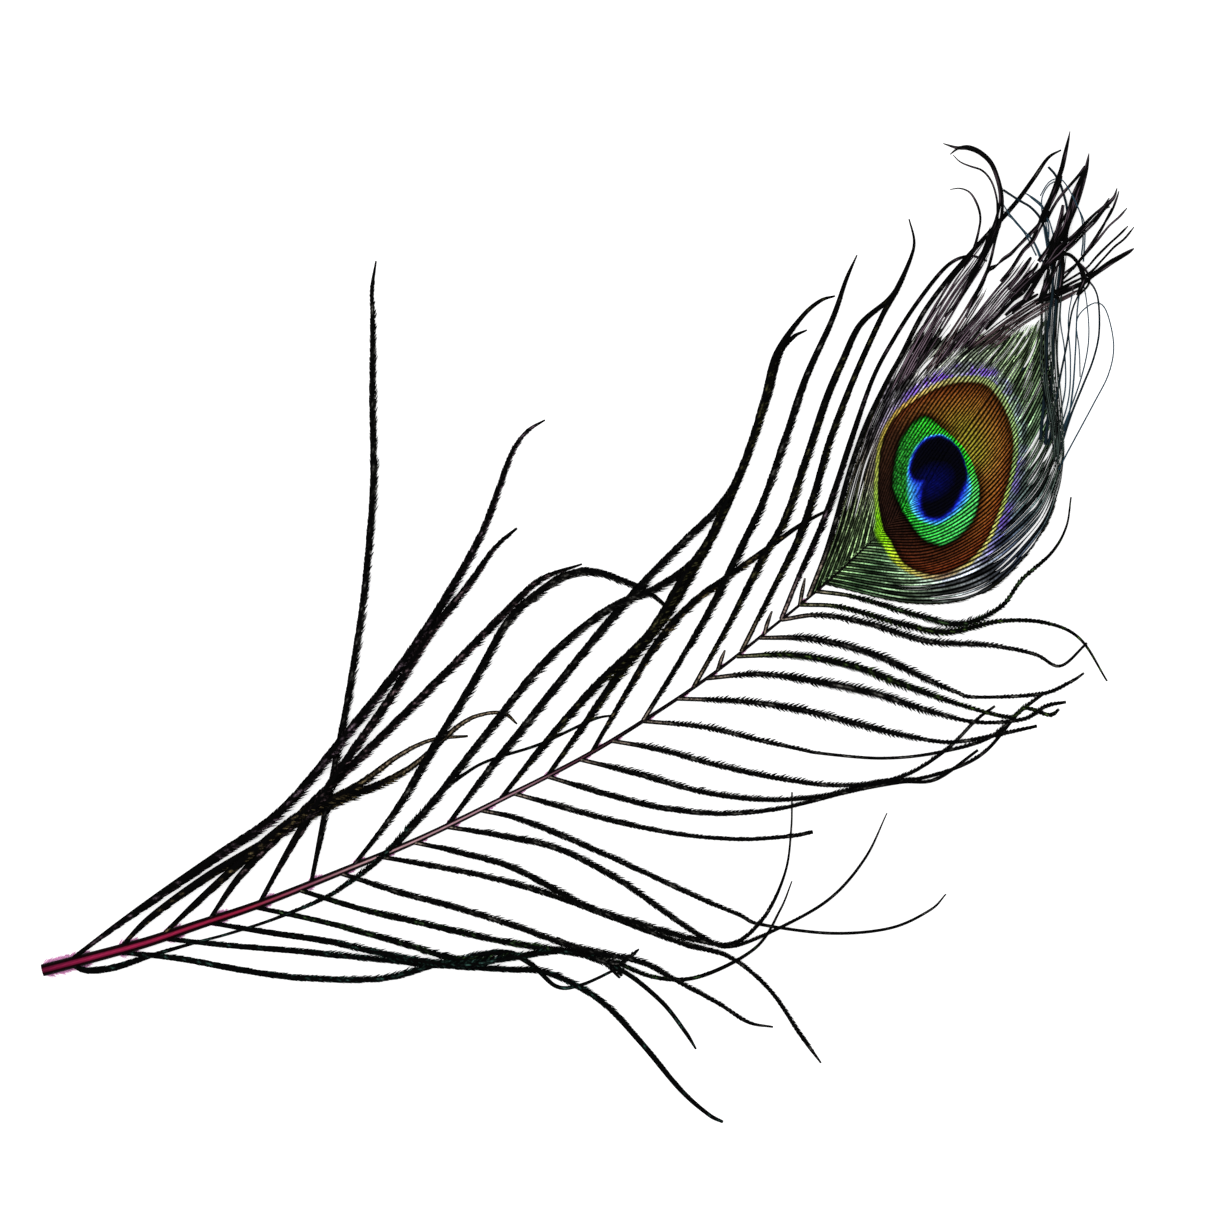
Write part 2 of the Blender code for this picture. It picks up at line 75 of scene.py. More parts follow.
# Each barb: lift in millimetres, tint, and its route from the quill to its tip with its width at each point
LOWER_BARBS = (
    (1.0, "teal", ((72, 968, 4), (88, 970, 6.5), (115, 967, 7), (140, 959, 6), (165, 951, 4),
     (200, 941, 2.6), (230, 933, 2.6), (276, 918, 3), (326, 897, 4.5), (354, 879, 5.5), (378, 860, 6),
     (400, 838, 6), (438, 795, 5), (466, 773, 3), (490, 760, 2.6), (540, 744, 2.6), (592, 720, 2.4),
     (615, 715, 1.6))),
    (1.6, "teal", ((118, 955, 4), (180, 958, 6.5), (240, 969, 7), (300, 977, 7), (380, 978, 7),
     (440, 963, 7), (500, 952, 6.5), (530, 963, 6), (556, 986, 4.5), (580, 985, 3), (610, 972, 2.5),
     (622, 964, 1.5))),
    (0.8, "teal", ((165, 941, 4), (230, 945, 6), (300, 951, 6.5), (370, 958, 6.5), (440, 965, 6.5),
     (510, 969, 6.5), (550, 973, 6.8), (600, 1000, 6.8), (640, 1041, 6.6), (680, 1089, 5.8),
     (708, 1114, 4.4), (723, 1122, 2.6))),
    (2.2, "teal", ((210, 926, 4), (270, 932, 6.5), (330, 941, 7), (400, 956, 7), (460, 964, 7),
     (510, 957, 7), (570, 951, 6), (620, 969, 5.6), (660, 1000, 5.2), (684, 1030, 4.2), (696, 1049, 1.6))),
    (1.4, "green", ((257, 909, 4), (330, 923, 6), (400, 942, 7), (460, 959, 7), (510, 957, 7),
     (560, 950, 6), (610, 960, 5.4), (655, 977, 4.6), (700, 976, 4), (755, 948, 2.8), (780, 910, 1.8),
     (792, 881, 0.9))),
    (2.8, "green", ((300, 892, 4), (360, 908, 6.5), (430, 924, 7), (500, 940, 7), (560, 950, 7),
     (600, 960, 5), (620, 978, 2))),
    (1.9, "black", ((340, 875, 4), (400, 892, 6.5), (460, 908, 7), (520, 927, 7), (580, 948, 7),
     (640, 961, 6.5), (680, 982, 5.4), (720, 1004, 5), (748, 1022, 3.2), (773, 1027, 1.6))),
    (1.2, "black", ((380, 858, 4), (430, 865, 6), (490, 877, 6.5), (550, 894, 6.5), (610, 916, 6.5),
     (680, 942, 6.5), (730, 957, 5), (770, 990, 4.8), (800, 1034, 4.6), (821, 1063, 1.4))),
    (2.4, "black", ((414, 843, 4), (460, 852, 6), (510, 866, 7), (550, 886, 7), (590, 907, 7),
     (640, 923, 6.5), (700, 940, 6), (735, 942, 4.8), (765, 915, 3.8), (785, 872, 2.2), (791, 830, 1.6),
     (792, 792, 1.2))),
    (1.7, "black", ((447, 828, 4), (500, 835, 6.5), (560, 849, 7), (620, 880, 7), (660, 908, 6.5),
     (700, 935, 5.4), (730, 946, 4), (780, 927, 3), (830, 898, 2.8), (865, 858, 2.2), (887, 813, 0.8))),
    (0.9, "black", ((484, 811, 4), (520, 819, 6), (580, 843, 6.5), (640, 870, 6), (700, 898, 5.6),
     (740, 915, 4.6), (760, 924, 3), (830, 933, 2.8), (890, 928, 2.5), (930, 910, 2.1), (946, 894, 1))),
    (1.5, "black", ((515, 794, 4), (560, 806, 6.5), (620, 822, 6), (680, 834, 5), (740, 839, 4.2),
     (790, 836, 4), (813, 832, 3.2))),
    (2.1, "black", ((548, 778, 4), (600, 792, 6.5), (660, 807, 6.5), (720, 813, 6), (780, 808, 5),
     (850, 791, 4), (900, 782, 3.4), (936, 779, 3.4), (978, 750, 2.4))),
    (1.1, "black", ((579, 760, 4), (640, 774, 7), (700, 791, 6.5), (760, 799, 6), (820, 796, 5),
     (880, 781, 4), (926, 777, 3.4), (979, 756, 3.4), (1016, 716, 2.6))),
    (1.8, "black", ((612, 742, 4), (659, 749, 6.5), (719, 765, 7), (780, 778, 6.5), (840, 785, 5),
     (899, 777, 4), (944, 751, 3.4), (976, 720, 3), (995, 706, 2.2))),
    (1.3, "black", ((645, 721, 4), (706, 727, 6.5), (760, 740, 6), (800, 749, 3.8), (820, 753, 3),
     (880, 758, 2.8), (934, 753, 3), (988, 738, 4), (1020, 711, 4), (1043, 694, 2.6))),
    (2.0, "black", ((679, 698, 4), (740, 701, 7), (798, 709, 8), (851, 722, 8), (899, 734, 7),
     (947, 742, 3.8), (990, 736, 4), (1037, 726, 3))),
    (1.5, "black", ((709, 677, 4), (760, 674, 7), (820, 682, 9), (877, 694, 9), (926, 710, 7.5),
     (976, 722, 3.8), (1023, 719, 3.8), (1046, 706, 3.8), (1066, 702, 2.6))),
    (0.9, "moss", ((740, 656, 4), (793, 655, 8), (853, 666, 9), (899, 683, 9), (955, 703, 6),
     (1008, 717, 3.6), (1025, 708, 3.8), (1050, 715, 3.8), (1059, 709, 2.4))),
    (1.7, "black", ((760, 638, 4), (813, 639, 8), (873, 654, 9), (926, 679, 7.4), (956, 692, 5),
     (975, 697, 3.2), (1040, 694, 3.8), (1070, 682, 3.2), (1084, 673, 1.8))),
    (1.2, "black", ((782, 619, 4), (820, 615, 6.2), (870, 624, 7.4), (926, 641, 7.4), (988, 645, 5.6),
     (1034, 654, 3.6), (1060, 666, 2.8), (1087, 643, 2))),
    (0.8, "moss", ((800, 604, 4), (841, 607, 5.8), (898, 623, 7.2), (946, 632, 8), (1000, 621, 5),
     (1046, 623, 3.4), (1080, 639, 2.6), (1107, 681, 1.4))),
    (1.4, "green", ((815, 592, 4), (855, 597, 5.6), (916, 615, 7), (960, 624, 7.4), (1000, 607, 5.6),
     (1021, 580, 4.2), (1051, 553, 2.8), (1066, 527, 1.8), (1071, 497, 1.2))),
    (1.2, "black", ((556, 938, 3), (578, 948, 8), (598, 955, 10), (614, 966, 7), (622, 976, 2))),
    (1.8, "black", ((575, 952, 3), (592, 957, 8), (612, 963, 7), (624, 961, 5), (632, 955, 4),
     (639, 949, 1.2))),
)

UPPER_BARBS = (
    (1.6, "mauve", ((68, 959, 3), (115, 927, 6), (165, 892, 9), (219, 855, 10), (283, 810, 10),
     (345, 737, 10), (399, 669, 9.5), (445, 600, 9), (479, 540, 8), (495, 500, 7), (509, 460, 6),
     (519, 441, 5), (530, 429, 3.5), (545, 420, 1.2))),
    (0.9, "straw", ((118, 944, 3), (150, 918, 6.5), (204, 879, 9), (259, 846, 9), (330, 806, 9),
     (406, 771, 8), (459, 726, 6.5), (485, 714, 5), (505, 714, 4), (517, 724, 1.5))),
    (1.9, "straw", ((162, 931, 3), (204, 896, 7.5), (253, 852, 9), (300, 815, 9), (356, 787, 9),
     (399, 756, 7), (432, 740, 5), (468, 736, 2))),
    (1.2, "rose", ((210, 917, 3), (243, 873, 7.5), (300, 815, 9), (349, 769, 9), (399, 720, 9),
     (452, 667, 9), (505, 613, 8), (540, 580, 6), (582, 564, 1.5))),
    (2.2, "rose", ((259, 900, 3), (300, 832, 8.5), (344, 765, 9.5), (393, 695, 9.5), (430, 635, 9),
     (468, 586, 7.5), (495, 548, 5.5), (517, 528, 2))),
    (1.4, "black", ((308, 881, 3), (324, 822, 7), (341, 739, 8), (354, 667, 8), (364, 600, 8),
     (370, 540, 8), (374, 480, 8), (373, 400, 7.5), (373, 320, 6), (372, 290, 4), (376, 261, 1.2))),
    (0.8, "black", ((354, 864, 3), (398, 808, 8), (432, 751, 9.5), (474, 682, 9.5), (508, 622, 9.5),
     (540, 592, 9.5), (566, 576, 9.5), (593, 572, 9), (633, 585, 7), (659, 600, 5), (672, 616, 2.5))),
    (1.9, "black", ((390, 851, 3), (435, 800, 8), (485, 736, 9), (546, 661, 9), (606, 611, 9),
     (659, 587, 9), (700, 556, 9), (722, 512, 6))),
    (1.2, "black", ((447, 825, 3), (487, 773, 7.5), (529, 721, 9), (593, 641, 9), (638, 589, 9),
     (686, 540, 8.5), (714, 513, 8.5), (733, 487, 8), (749, 452, 6.5), (768, 400, 5.5), (779, 358, 4.4),
     (792, 338, 3.8), (807, 330, 1.2))),
    (2.3, "olive", ((500, 798, 3), (544, 745, 7.5), (595, 687, 9), (649, 634, 9), (686, 573, 9),
     (707, 544, 9), (727, 502, 8.5), (748, 452, 7.5), (764, 400, 7.5), (776, 355, 7), (801, 318, 5),
     (820, 301, 3.4), (835, 296, 1.4))),
    (1.6, "olive", ((545, 776, 3), (585, 724, 7.5), (622, 671, 9), (665, 618, 9), (696, 566, 9),
     (718.5, 524, 8), (735.5, 487, 7), (751, 453, 4))),
    (0.9, "straw", ((593, 750, 3), (623, 699, 6), (656, 645, 8), (692, 604, 8), (735, 572, 7),
     (775, 543, 5.5), (802, 524, 4), (832, 508, 2))),
    (1.8, "black", ((643, 719, 3.5), (682, 658, 6), (715, 601, 8), (745, 540, 8), (764, 500, 8),
     (785, 440, 7.8), (805, 380, 7.2), (832, 320, 5.8), (846, 280, 3.8), (857, 255, 0.9))),
    (1.3, "olive", ((691, 687, 4), (728, 626, 6), (760, 564, 8), (785, 520, 8), (806, 460, 8.2),
     (826, 400, 7.8), (843, 360, 7.2), (860, 325, 6.2), (887, 301, 5), (900, 284, 4))),
    (2.0, "olive", ((740, 652, 4), (774, 588, 6.5), (798, 540, 8), (814, 495, 8), (830, 440, 7.4),
     (853, 380, 6.4), (880, 320, 5.6), (898, 287, 5.8), (911, 257, 3.2), (914, 240, 2.2), (909, 219, 1))),
    (1.5, "mauve", ((781, 618, 4), (801, 572, 6), (822, 525, 7), (838, 480, 6.5), (851, 440, 6),
     (872, 380, 4.4), (893, 340, 4), (919, 300, 4), (947, 266, 3.4), (969, 256, 2.4), (987, 261, 1.6))),
    (1.0, "black", ((808, 596, 4), (824, 558, 5), (836, 520, 5.5), (850, 470, 5.5), (866, 425, 5.5),
     (886, 383, 5), (901, 356, 5), (922, 315, 5), (945, 283, 4.8), (970, 254, 4.6), (999, 222, 4.6),
     (1018, 200, 4.4), (1034, 178, 4), (1048, 158, 2.8), (1061, 150, 1.2))),
    (0.4, "black", ((717, 670, 3), (721, 660, 4), (725, 650, 1.5))),
    (0.4, "black", ((763, 636, 3), (767, 624, 4), (772, 611, 1.5))),
    (0.4, "black", ((799, 606, 3), (802, 592, 4), (805, 578, 1.5))),
)

# Fans of fine barbs that grow on from the vane into the plume: how many, lift, tint, and the fan's left and
# right edges
FANS = (
    (8, 1.3, "mauve", ((884, 402), (905, 357), (930, 312), (947, 286), (966, 262), (984, 238), (990, 226)),
     ((912, 378), (938, 338), (957, 308), (972, 284), (984, 264), (994, 244), (998, 228))),
    (6, 1.0, "rose", ((918, 382), (940, 345), (955, 322), (966, 305), (975, 290), (981, 278)),
     ((934, 370), (953, 347), (966, 325), (975, 310), (984, 296), (992, 280))),
    (10, 1.5, "mauve", ((930, 372), (955, 338), (970, 320), (990, 294), (1008, 272), (1022, 254)),
     ((962, 356), (985, 328), (1000, 312), (1016, 294), (1030, 280), (1042, 262))),
    (11, 1.0, "rose", ((960, 354), (985, 333), (1005, 318), (1030, 302), (1050, 292), (1078, 280)),
     ((985, 354), (1002, 343), (1020, 328), (1038, 316), (1056, 305), (1084, 291))),
    (10, 1.2, "steel",
     ((1053, 478), (1052, 450), (1048, 420), (1041, 385), (1039, 345), (1040, 305), (1045, 268), (1052, 243)),
     ((1060, 474), (1063, 445), (1062, 415), (1060, 385), (1058, 345), (1060, 310), (1064, 275),
      (1068, 243))),
)

# Strands of the plume that stand out one by one: lift, and the route with the width in pixels at each point
PLUME_STRANDS = (
    (1.2, ((915, 345, 2), (940, 298, 3), (955, 275, 3), (966, 262, 4), (973, 250, 3.5), (978, 232, 2.6),
           (980, 218, 2.4), (977, 205, 2.2), (970, 193, 1.6), (960, 188.5, 1.2), (950, 189.5, 0.8))),
    (1.8, ((945, 318, 3), (958, 300, 4), (968, 282, 6), (978, 265, 7), (986, 250, 8), (994, 232, 8),
           (999, 215, 6.5), (1001, 200, 5), (998, 182, 4.5), (991, 164, 4.5), (980, 153, 4.8),
           (968, 148, 5), (957, 148, 3), (943, 143.5, 0.8))),
    (1.5, ((975, 151, 2), (964, 148, 2.4), (956, 150, 2), (950, 154.5, 0.8))),
    (1.0, ((988, 247, 2), (996, 228, 2.4), (997, 212, 2.2), (996, 198, 1.8), (991, 182, 1.8),
           (982, 171, 1.8), (970, 166.5, 1.6), (960, 162, 1.2), (953, 155, 0.7))),
    (1.4, ((999, 228, 2), (1002, 212, 3), (1002, 200, 2.4), (1002.5, 188, 0.6))),
    (1.1, ((972, 300, 2), (985, 275, 3), (990, 262, 3.4), (994, 245, 3), (998, 230, 2.4), (1000, 222, 1))),
    (0.9, ((965, 318, 2), (974, 298, 4), (980, 288, 5), (983, 283, 3), (987, 272, 4), (992, 268, 5),
           (997, 265, 1.6), (1003, 259, 4), (1010, 254, 4.5), (1017, 247, 3.5), (1025, 239, 4),
           (1033, 231, 4.5), (1040, 222, 3), (1046, 212, 2))),
    (1.6, ((1000, 282, 3), (1012, 268, 4), (1022, 252, 4), (1031, 242, 4.5), (1037, 230, 5), (1043, 217, 7),
           (1050, 200, 5), (1056, 185, 5.5), (1061, 170, 5.5), (1066, 150, 3.8), (1070, 131, 0.6))),
    (1.3, ((1042, 222, 3), (1049, 207, 2.4), (1055, 195, 2.4), (1060, 183, 2), (1062, 176, 1))),
    (1.2, ((985, 330, 3), (1000, 314, 4), (1022, 290, 4), (1040, 272, 5), (1052, 257, 8), (1060, 243, 12),
           (1066, 228, 8), (1071, 212, 8), (1076, 196, 8.5), (1081, 182, 7), (1086, 168, 4.5),
           (1089, 153, 0.6))),
    (0.9, ((1045, 222, 4), (1055, 204, 3), (1064, 192, 3.4), (1072, 183, 3), (1079, 175, 3),
           (1085, 166, 2))),
    (0.8, ((1038, 262, 4), (1048, 248, 4), (1056, 232, 4), (1064, 218, 3), (1070, 208, 3))),
    (1.9, ((1010, 300, 4), (1030, 280, 5), (1048, 264, 8), (1060, 251, 12), (1072, 240, 9), (1082, 230, 8),
           (1092, 220, 8), (1101, 211, 6), (1108, 204, 4), (1114, 197, 2.6), (1117, 188, 0.7))),
    (1.4, ((1092, 222, 3), (1100, 214, 3), (1106, 208, 2.6), (1110, 207, 0.8))),
    (1.5, ((1098, 214, 3), (1104, 206, 2.4), (1109, 198, 0.8))),
    (1.3, ((1062, 275, 2), (1078, 262, 2), (1092, 242, 2.6), (1101, 228, 2.8), (1110, 214, 2.4),
           (1116, 200, 1.8), (1119, 191, 0.7))),
    (0.9, ((1072, 270, 2), (1088, 249, 2.4), (1098, 235, 2.4), (1106, 220, 2), (1112, 208, 1.4))),
    (1.4, ((1062, 280, 3), (1082, 258, 2.8), (1095, 243, 2.8), (1108, 227, 2.8), (1119, 217, 2.4),
           (1127, 208, 0.8))),
    (0.9, ((1060, 285, 3), (1084, 270, 3), (1096, 257, 3), (1108, 245, 3), (1119, 235, 2.8),
           (1128, 226, 0.8))),
    (1.7, ((1060, 290, 3), (1088, 274, 3), (1100, 262, 3), (1113, 248, 3), (1124, 239, 2.6),
           (1134, 227, 0.8))),
    (1.2, ((1035, 303, 5), (1060, 292, 7), (1080, 283, 9), (1092, 275, 6), (1106, 266, 6), (1120, 257, 5),
           (1128, 252, 4), (1134, 248.5, 1))),
    (1.0, ((1005, 316, 3), (1015, 307, 5), (1026, 299, 4), (1034, 292, 1.6))),
    (0.8, ((1012, 314, 3), (1022, 304, 5), (1032, 298, 4), (1038, 294, 1.6))),
    (1.1, ((1008, 290, 3), (1020, 274, 6), (1028, 262, 4), (1031, 257, 1.4))),
    (0.9, ((1012, 292, 3), (1024, 278, 5), (1034, 269, 4), (1038, 263, 1.4))),
    (1.0, ((1012, 300, 4), (1022, 291, 6), (1031, 280, 3), (1036, 272, 1.4))),
    (2.2, ((1077, 296, 3), (1084, 283, 9), (1083, 272, 6), (1078, 263, 3))),
    (1.6, ((1040, 300, 5), (1048, 280, 9), (1053, 262, 11), (1058, 245, 11), (1064, 228, 6),
           (1070, 212, 3))),
    (1.2, ((1058, 255, 3), (1068, 255, 3.5), (1076, 262, 4), (1082, 274, 5), (1084, 284, 4))),
    (1.0, ((1056, 300, 3), (1060, 285, 4), (1062, 268, 5), (1061, 250, 5), (1056, 235, 3))),
    (1.3, ((1024, 300, 4), (1036, 282, 6), (1046, 262, 7), (1054, 240, 6), (1060, 222, 5), (1063, 205, 3))),
)

# Fine hairs: width in pixels, lift, and the route from the vane's right side round over the plume
HAIRS = (
    (1.2, 1.2, ((1058, 470), (1070, 447), (1093, 404), (1108, 374), (1113, 345), (1106, 312), (1096, 303),
                (1082, 311), (1076, 324), (1079, 350), (1080, 377))),
    (2.2, 1.8, ((1056, 462), (1069, 419), (1082, 386), (1092, 361), (1098, 335), (1098, 305), (1094, 289),
                (1084, 276), (1078, 262), (1070, 255), (1062, 256))),
    (1.8, 0.9, ((1052, 450), (1066, 424), (1072, 392), (1075, 350), (1077, 310), (1082, 278))),
    (2.2, 1.5, ((1048, 445), (1059, 380), (1066, 345), (1072, 310), (1084, 284))),
    (3.0, 1.3, ((1040, 440), (1045, 380), (1047, 330), (1052, 290), (1050, 255), (1043, 225), (1032, 209),
                (1018, 200), (1003, 190))),
    (3.0, 0.8, ((1045, 445), (1052, 370), (1054, 320), (1058, 280), (1062, 250), (1067, 215), (1062, 190),
                (1055, 175), (1048, 167))),
    (1.4, 1.0, ((1047, 250), (1043, 225), (1041, 203), (1044, 192), (1050, 184), (1057, 181))),
    (1.2, 1.0, ((1052, 262), (1046, 228), (1043, 208), (1036, 200), (1027, 194))),
    (1.0, 1.1, ((1045, 268), (1034, 243), (1024, 232), (1015, 222), (1003, 211))),
    (0.8, 1.2, ((1083, 262), (1084, 225), (1075, 202))),
    (1.2, 0.9, ((1060, 414), (1065, 386), (1064, 350), (1060, 320), (1062, 290))),
    (1.2, 0.7, ((1056, 440), (1068, 400), (1070, 360), (1068, 320), (1074, 285))),
    (1.0, 1.3, ((1062, 430), (1080, 380), (1088, 340), (1086, 300), (1080, 272))),
    (1.6, 0.8, ((1040, 405), (1050, 412), (1058, 426), (1061, 438), (1064, 452))),
    (1.4, 0.6, ((1020, 372), (1024, 368), (1033, 371))),
    (1.0, 1.3, ((1047, 248), (1048, 227), (1041, 206), (1025, 193))),
    (1.0, 1.0, ((1054, 244), (1052, 232), (1044, 211), (1029, 196))),
    (1.0, 1.2, ((1041, 262), (1033, 243), (1020, 227), (1007, 211))),
    (1.0, 0.9, ((1036, 256), (1025, 235), (1012, 219), (1001, 201))),
    (1.0, 1.4, ((1081, 256), (1082.5, 240), (1081, 219), (1074, 201), (1064, 183), (1057, 179), (1048, 183),
                (1040, 196))),
)

# The vane around the eye: guide barbs from the quill to the rim, from its left edge round to its right
VANE_LEFT = (
    ((815, 590), (836, 535), (853, 475), (873, 418), (904, 356), (930, 318)),
    ((828, 579), (849, 522), (866, 460), (893, 398), (925, 350), (945, 322)),
    ((842, 566), (862, 508), (881, 443), (915, 385), (945, 350), (962, 330)),
    ((855, 555), (873, 493), (900, 426), (940, 372), (965, 347), (983, 330)),
    ((869, 542), (887, 478), (928, 408), (965, 362), (986, 343), (1003, 326)),
    ((882, 531), (906, 473), (950, 413), (988, 365), (1005, 344), (1018, 326)),
    ((906, 508), (934, 458), (975, 405), (1006, 362), (1019, 344), (1030, 325)),
    ((935, 475), (955, 443), (985, 400), (1010, 365), (1025, 344), (1037, 322)),
)
VANE_RIGHT = (
    ((935, 475), (955, 443), (985, 400), (1010, 365), (1025, 344), (1037, 322)),
    ((920, 493), (950, 468), (985, 425), (1010, 385), (1029, 352), (1043, 318)),
    ((906, 508), (945, 488), (985, 450), (1015, 405), (1034, 366), (1048, 332)),
    ((893, 521), (940, 508), (985, 470), (1018, 425), (1038, 388), (1052, 355)),
    ((881, 532), (935, 525), (985, 488), (1020, 445), (1042, 405), (1055, 372)),
    ((868, 543), (930, 543), (985, 513), (1024, 465), (1047, 423), (1058, 392)),
    ((854, 556), (925, 561), (985, 532), (1030, 483), (1052, 443), (1061, 415)),
    ((838, 570), (920, 577), (985, 554), (1035, 511), (1055, 470), (1064, 440)),
    ((824, 583), (915, 602), (985, 590), (1038, 537), (1058, 490), (1064, 455)),
)

# Where the roots of the vane's two sides meet
MEETING_PX = ((866, 546), (892, 521), (915, 497), (940, 468), (958, 446))

# Outlines of the eye's rings, each from its top round to the right
CORE_PX = (
    (939, 436), (948, 439), (957, 446), (963, 457), (967, 470), (967, 480), (962, 490), (957, 501),
    (950, 511), (939, 518.5), (926, 516.5), (921, 506), (921.5, 495), (922.5, 487), (925, 481),
    (919.5, 480.5), (913, 478.5), (909.5, 471), (911, 462), (914.5, 453), (920, 445), (928, 438.5),
)
BLUE_PX = (
    (939, 434), (948.5, 437.5), (958, 445), (964, 456), (968.5, 469), (970.5, 480), (972, 489), (969, 500),
    (961, 510), (950, 519), (937, 525.5), (924, 523), (914, 516), (908.5, 505), (906, 490), (906.5, 474),
    (908.5, 461), (912.5, 451.5), (918.5, 443), (927.5, 436.5),
)
GREEN_PX = (
    (925, 416), (938, 425), (957, 441), (970, 459.5), (978, 482), (979, 499), (973, 520.5), (965, 531),
    (955, 540), (943, 546), (933, 544), (922, 539), (908, 520.5), (894, 494), (892, 479), (897, 447.5),
    (904, 433), (913, 422),
)
BRONZE_PX = (
    (970, 382), (988.5, 386.5), (1004.5, 409), (1012.4, 434), (1012.4, 459.5), (1007, 486), (998, 512.5),
    (985, 542), (965, 564), (939.5, 575), (916, 571), (901, 560.5), (891, 542), (883, 529), (878, 501),
    (878, 475), (882, 442), (896, 416), (920, 397), (946, 385),
)

# Long gaps between the eye's outer barbs, where the floor shows: how wide in pixels, and where each runs
SLITS_PX = (
    (1.6, ((864, 500), (869, 456), (874, 438))),
    (1.2, ((857, 520), (862, 480))),
    (1.2, ((846, 545), (853, 500))),
    (2.2, ((900, 379), (917, 357))),
    (2.2, ((916, 376), (932, 355))),
    (2.4, ((949, 357), (966, 338), (980, 321))),
    (1.8, ((1004, 360), (1018, 344), (1033, 329))),
    (1.8, ((1012, 362), (1033, 333))),
    (2.2, ((1021, 372), (1037, 337))),
    (1.0, ((975, 356), (992, 338))),
    (1.0, ((986, 362), (1004, 343))),
    (2.2, ((1028, 472), (1037, 458), (1045, 440), (1050, 420))),
    (2.6, ((1020, 466), (1033, 443), (1041, 420), (1045, 398))),
    (2.6, ((1039, 462), (1050, 450), (1057, 434))),
    (1.6, ((1047, 476), (1055, 464), (1060, 452))),
    (4.2, ((988, 565), (1005, 554), (1025, 538), (1043, 518), (1054, 494))),
    (1.4, ((1008, 557), (1024, 544))),
    (1.2, ((1030, 514), (1040, 502))),
    (1.2, ((1024, 560), (1040, 540))),
    (1.2, ((1000, 575), (1020, 560))),
    (1.2, ((925, 590), (985, 573))),
    (1.2, ((900, 597), (950, 600))),
    (1.0, ((940, 583), (975, 575))),
)

LIME_PX = (880, 528)  # where the rim is lime, beside the quill
INDIGO_PX = (932, 482)  # the deep blue patch in the core
EYE_MIDDLE_PX = (945, 480)
KNOT_BARBS = 2  # the last two lower barbs lie in the knot, away from the quill

# ---- What the pieces share ----

RISE_PX = np.subtract(PLUME_TIP_PX, CUT_END_PX)
PIXEL = FEATHER_LENGTH / np.hypot(*RISE_PX)
SLANT = math.atan2(-RISE_PX[1], RISE_PX[0])
CURVE_STEPS = 12
FEWEST_STATIONS = 8
UP = np.array((0.0, 0.0, 1.0))
BARB_HALF_HEIGHT = 0.13 * MM
VANE_HEIGHT_AT_QUILL = 0.3 * MM
VANE_HEIGHT_AT_RIM = 0.75 * MM
VANE_ARCH = 0.8 * MM


def linear(hex_colour, alpha=1.0):
    """The linear colour of an sRGB hex value."""
    parts = [int(hex_colour[place : place + 2], 16) / 255 for place in (1, 3, 5)]
    return (*[c / 12.92 if c <= 0.04045 else ((c + 0.055) / 1.055) ** 2.4 for c in parts], alpha)


TINTS = {
    "black": "#7c7a74",
    "teal": "#4f7c70",
    "green": "#5a804c",
    "moss": "#66883f",
    "hair": "#44687c",
    "mauve": "#9c8494",
    "straw": "#a89468",
    "rose": "#a0848a",
    "olive": "#66633f",
    "steel": "#6c8078",
    "bare": "#d0b8a4",
    "dye": "#eeaada",
}


def on_table(pixels):
    """The places on the table of pixels, with the feather's length along X."""
    pixels = np.asarray(pixels, float)
    right = (pixels[..., 0] - MIDDLE_PX[0]) * PIXEL
    up = (MIDDLE_PX[1] - pixels[..., 1]) * PIXEL
    return np.stack(
        (right * math.cos(SLANT) + up * math.sin(SLANT), up * math.cos(SLANT) - right * math.sin(SLANT)), -1
    )


def smooth_through(points, steps=CURVE_STEPS):
    """Places along the smooth curve through the points, the points themselves among them."""
    points = np.asarray(points, float)
    ends = np.concatenate((2 * points[:1] - points[1:2], points, 2 * points[-1:] - points[-2:-1]))
    share = (np.arange(steps) / steps).reshape(-1, *[1] * (points.ndim - 1))
    curve = []
    for before, start, end, after in zip(ends, ends[1:], ends[2:], ends[3:]):
        bend = share * share * (3 - 2 * share)
        leaving = (end - before) / 2 * share * (1 - share) ** 2
        arriving = (after - start) / 2 * share * share * (1 - share)
        curve.append(start + (end - start) * bend + leaving - arriving)
    return np.concatenate((*curve, points[-1:]))


def measured(curve):
    """How far along the curve each of its places is."""
    steps = np.linalg.norm(np.diff(curve[:, :2], axis=0), axis=1)
    return np.concatenate(((0.0,), np.cumsum(steps)))


def sampled(curve, reached, wanted):
    """The curve's places at the wanted distances, from those that its own places have reached."""
    return np.stack([np.interp(wanted, reached, column) for column in curve.T], 1)


def evenly(curve, stations):
    """The curve again, with its places set evenly."""
    reached = measured(curve)
    return sampled(curve, reached, np.linspace(0, reached[-1], stations))


def stations_for(length, spacing):
    """How many stations a strand of that length has."""
    return max(FEWEST_STATIONS, round(length / spacing) + 1)


def normals_of(route):
    """The level direction to the left of the route, and the way the route runs, at each place."""
    along = np.gradient(route, axis=-2)
    along /= np.linalg.norm(along, axis=-1, keepdims=True)
    left = np.cross(UP, along)
    left /= np.linalg.norm(left, axis=-1, keepdims=True)
    return left, along


def eased(value, low, high):
    """0 below low, 1 above high and a smooth rise between."""
    share = np.clip((value - low) / (high - low), 0, 1)
    return share * share * (3 - 2 * share)


def wandering(dice, distances, wave):
    """Smooth random numbers from 0 to 1, one wave or so in each stretch of that length."""
    knots = dice.random(int(distances[-1] / wave) + 3)
    return np.interp(distances / wave, np.arange(len(knots)), knots)


def read_off(pairs, value):
    """What pairs of a place and a level give at a value, straight from one pair to the next."""
    places, levels = np.transpose(pairs)
    return np.interp(value, places, levels)


def ranged(least_and_more, share):
    """The least, and that share of what may come on top of it."""
    least, more = least_and_more
    return least + more * share


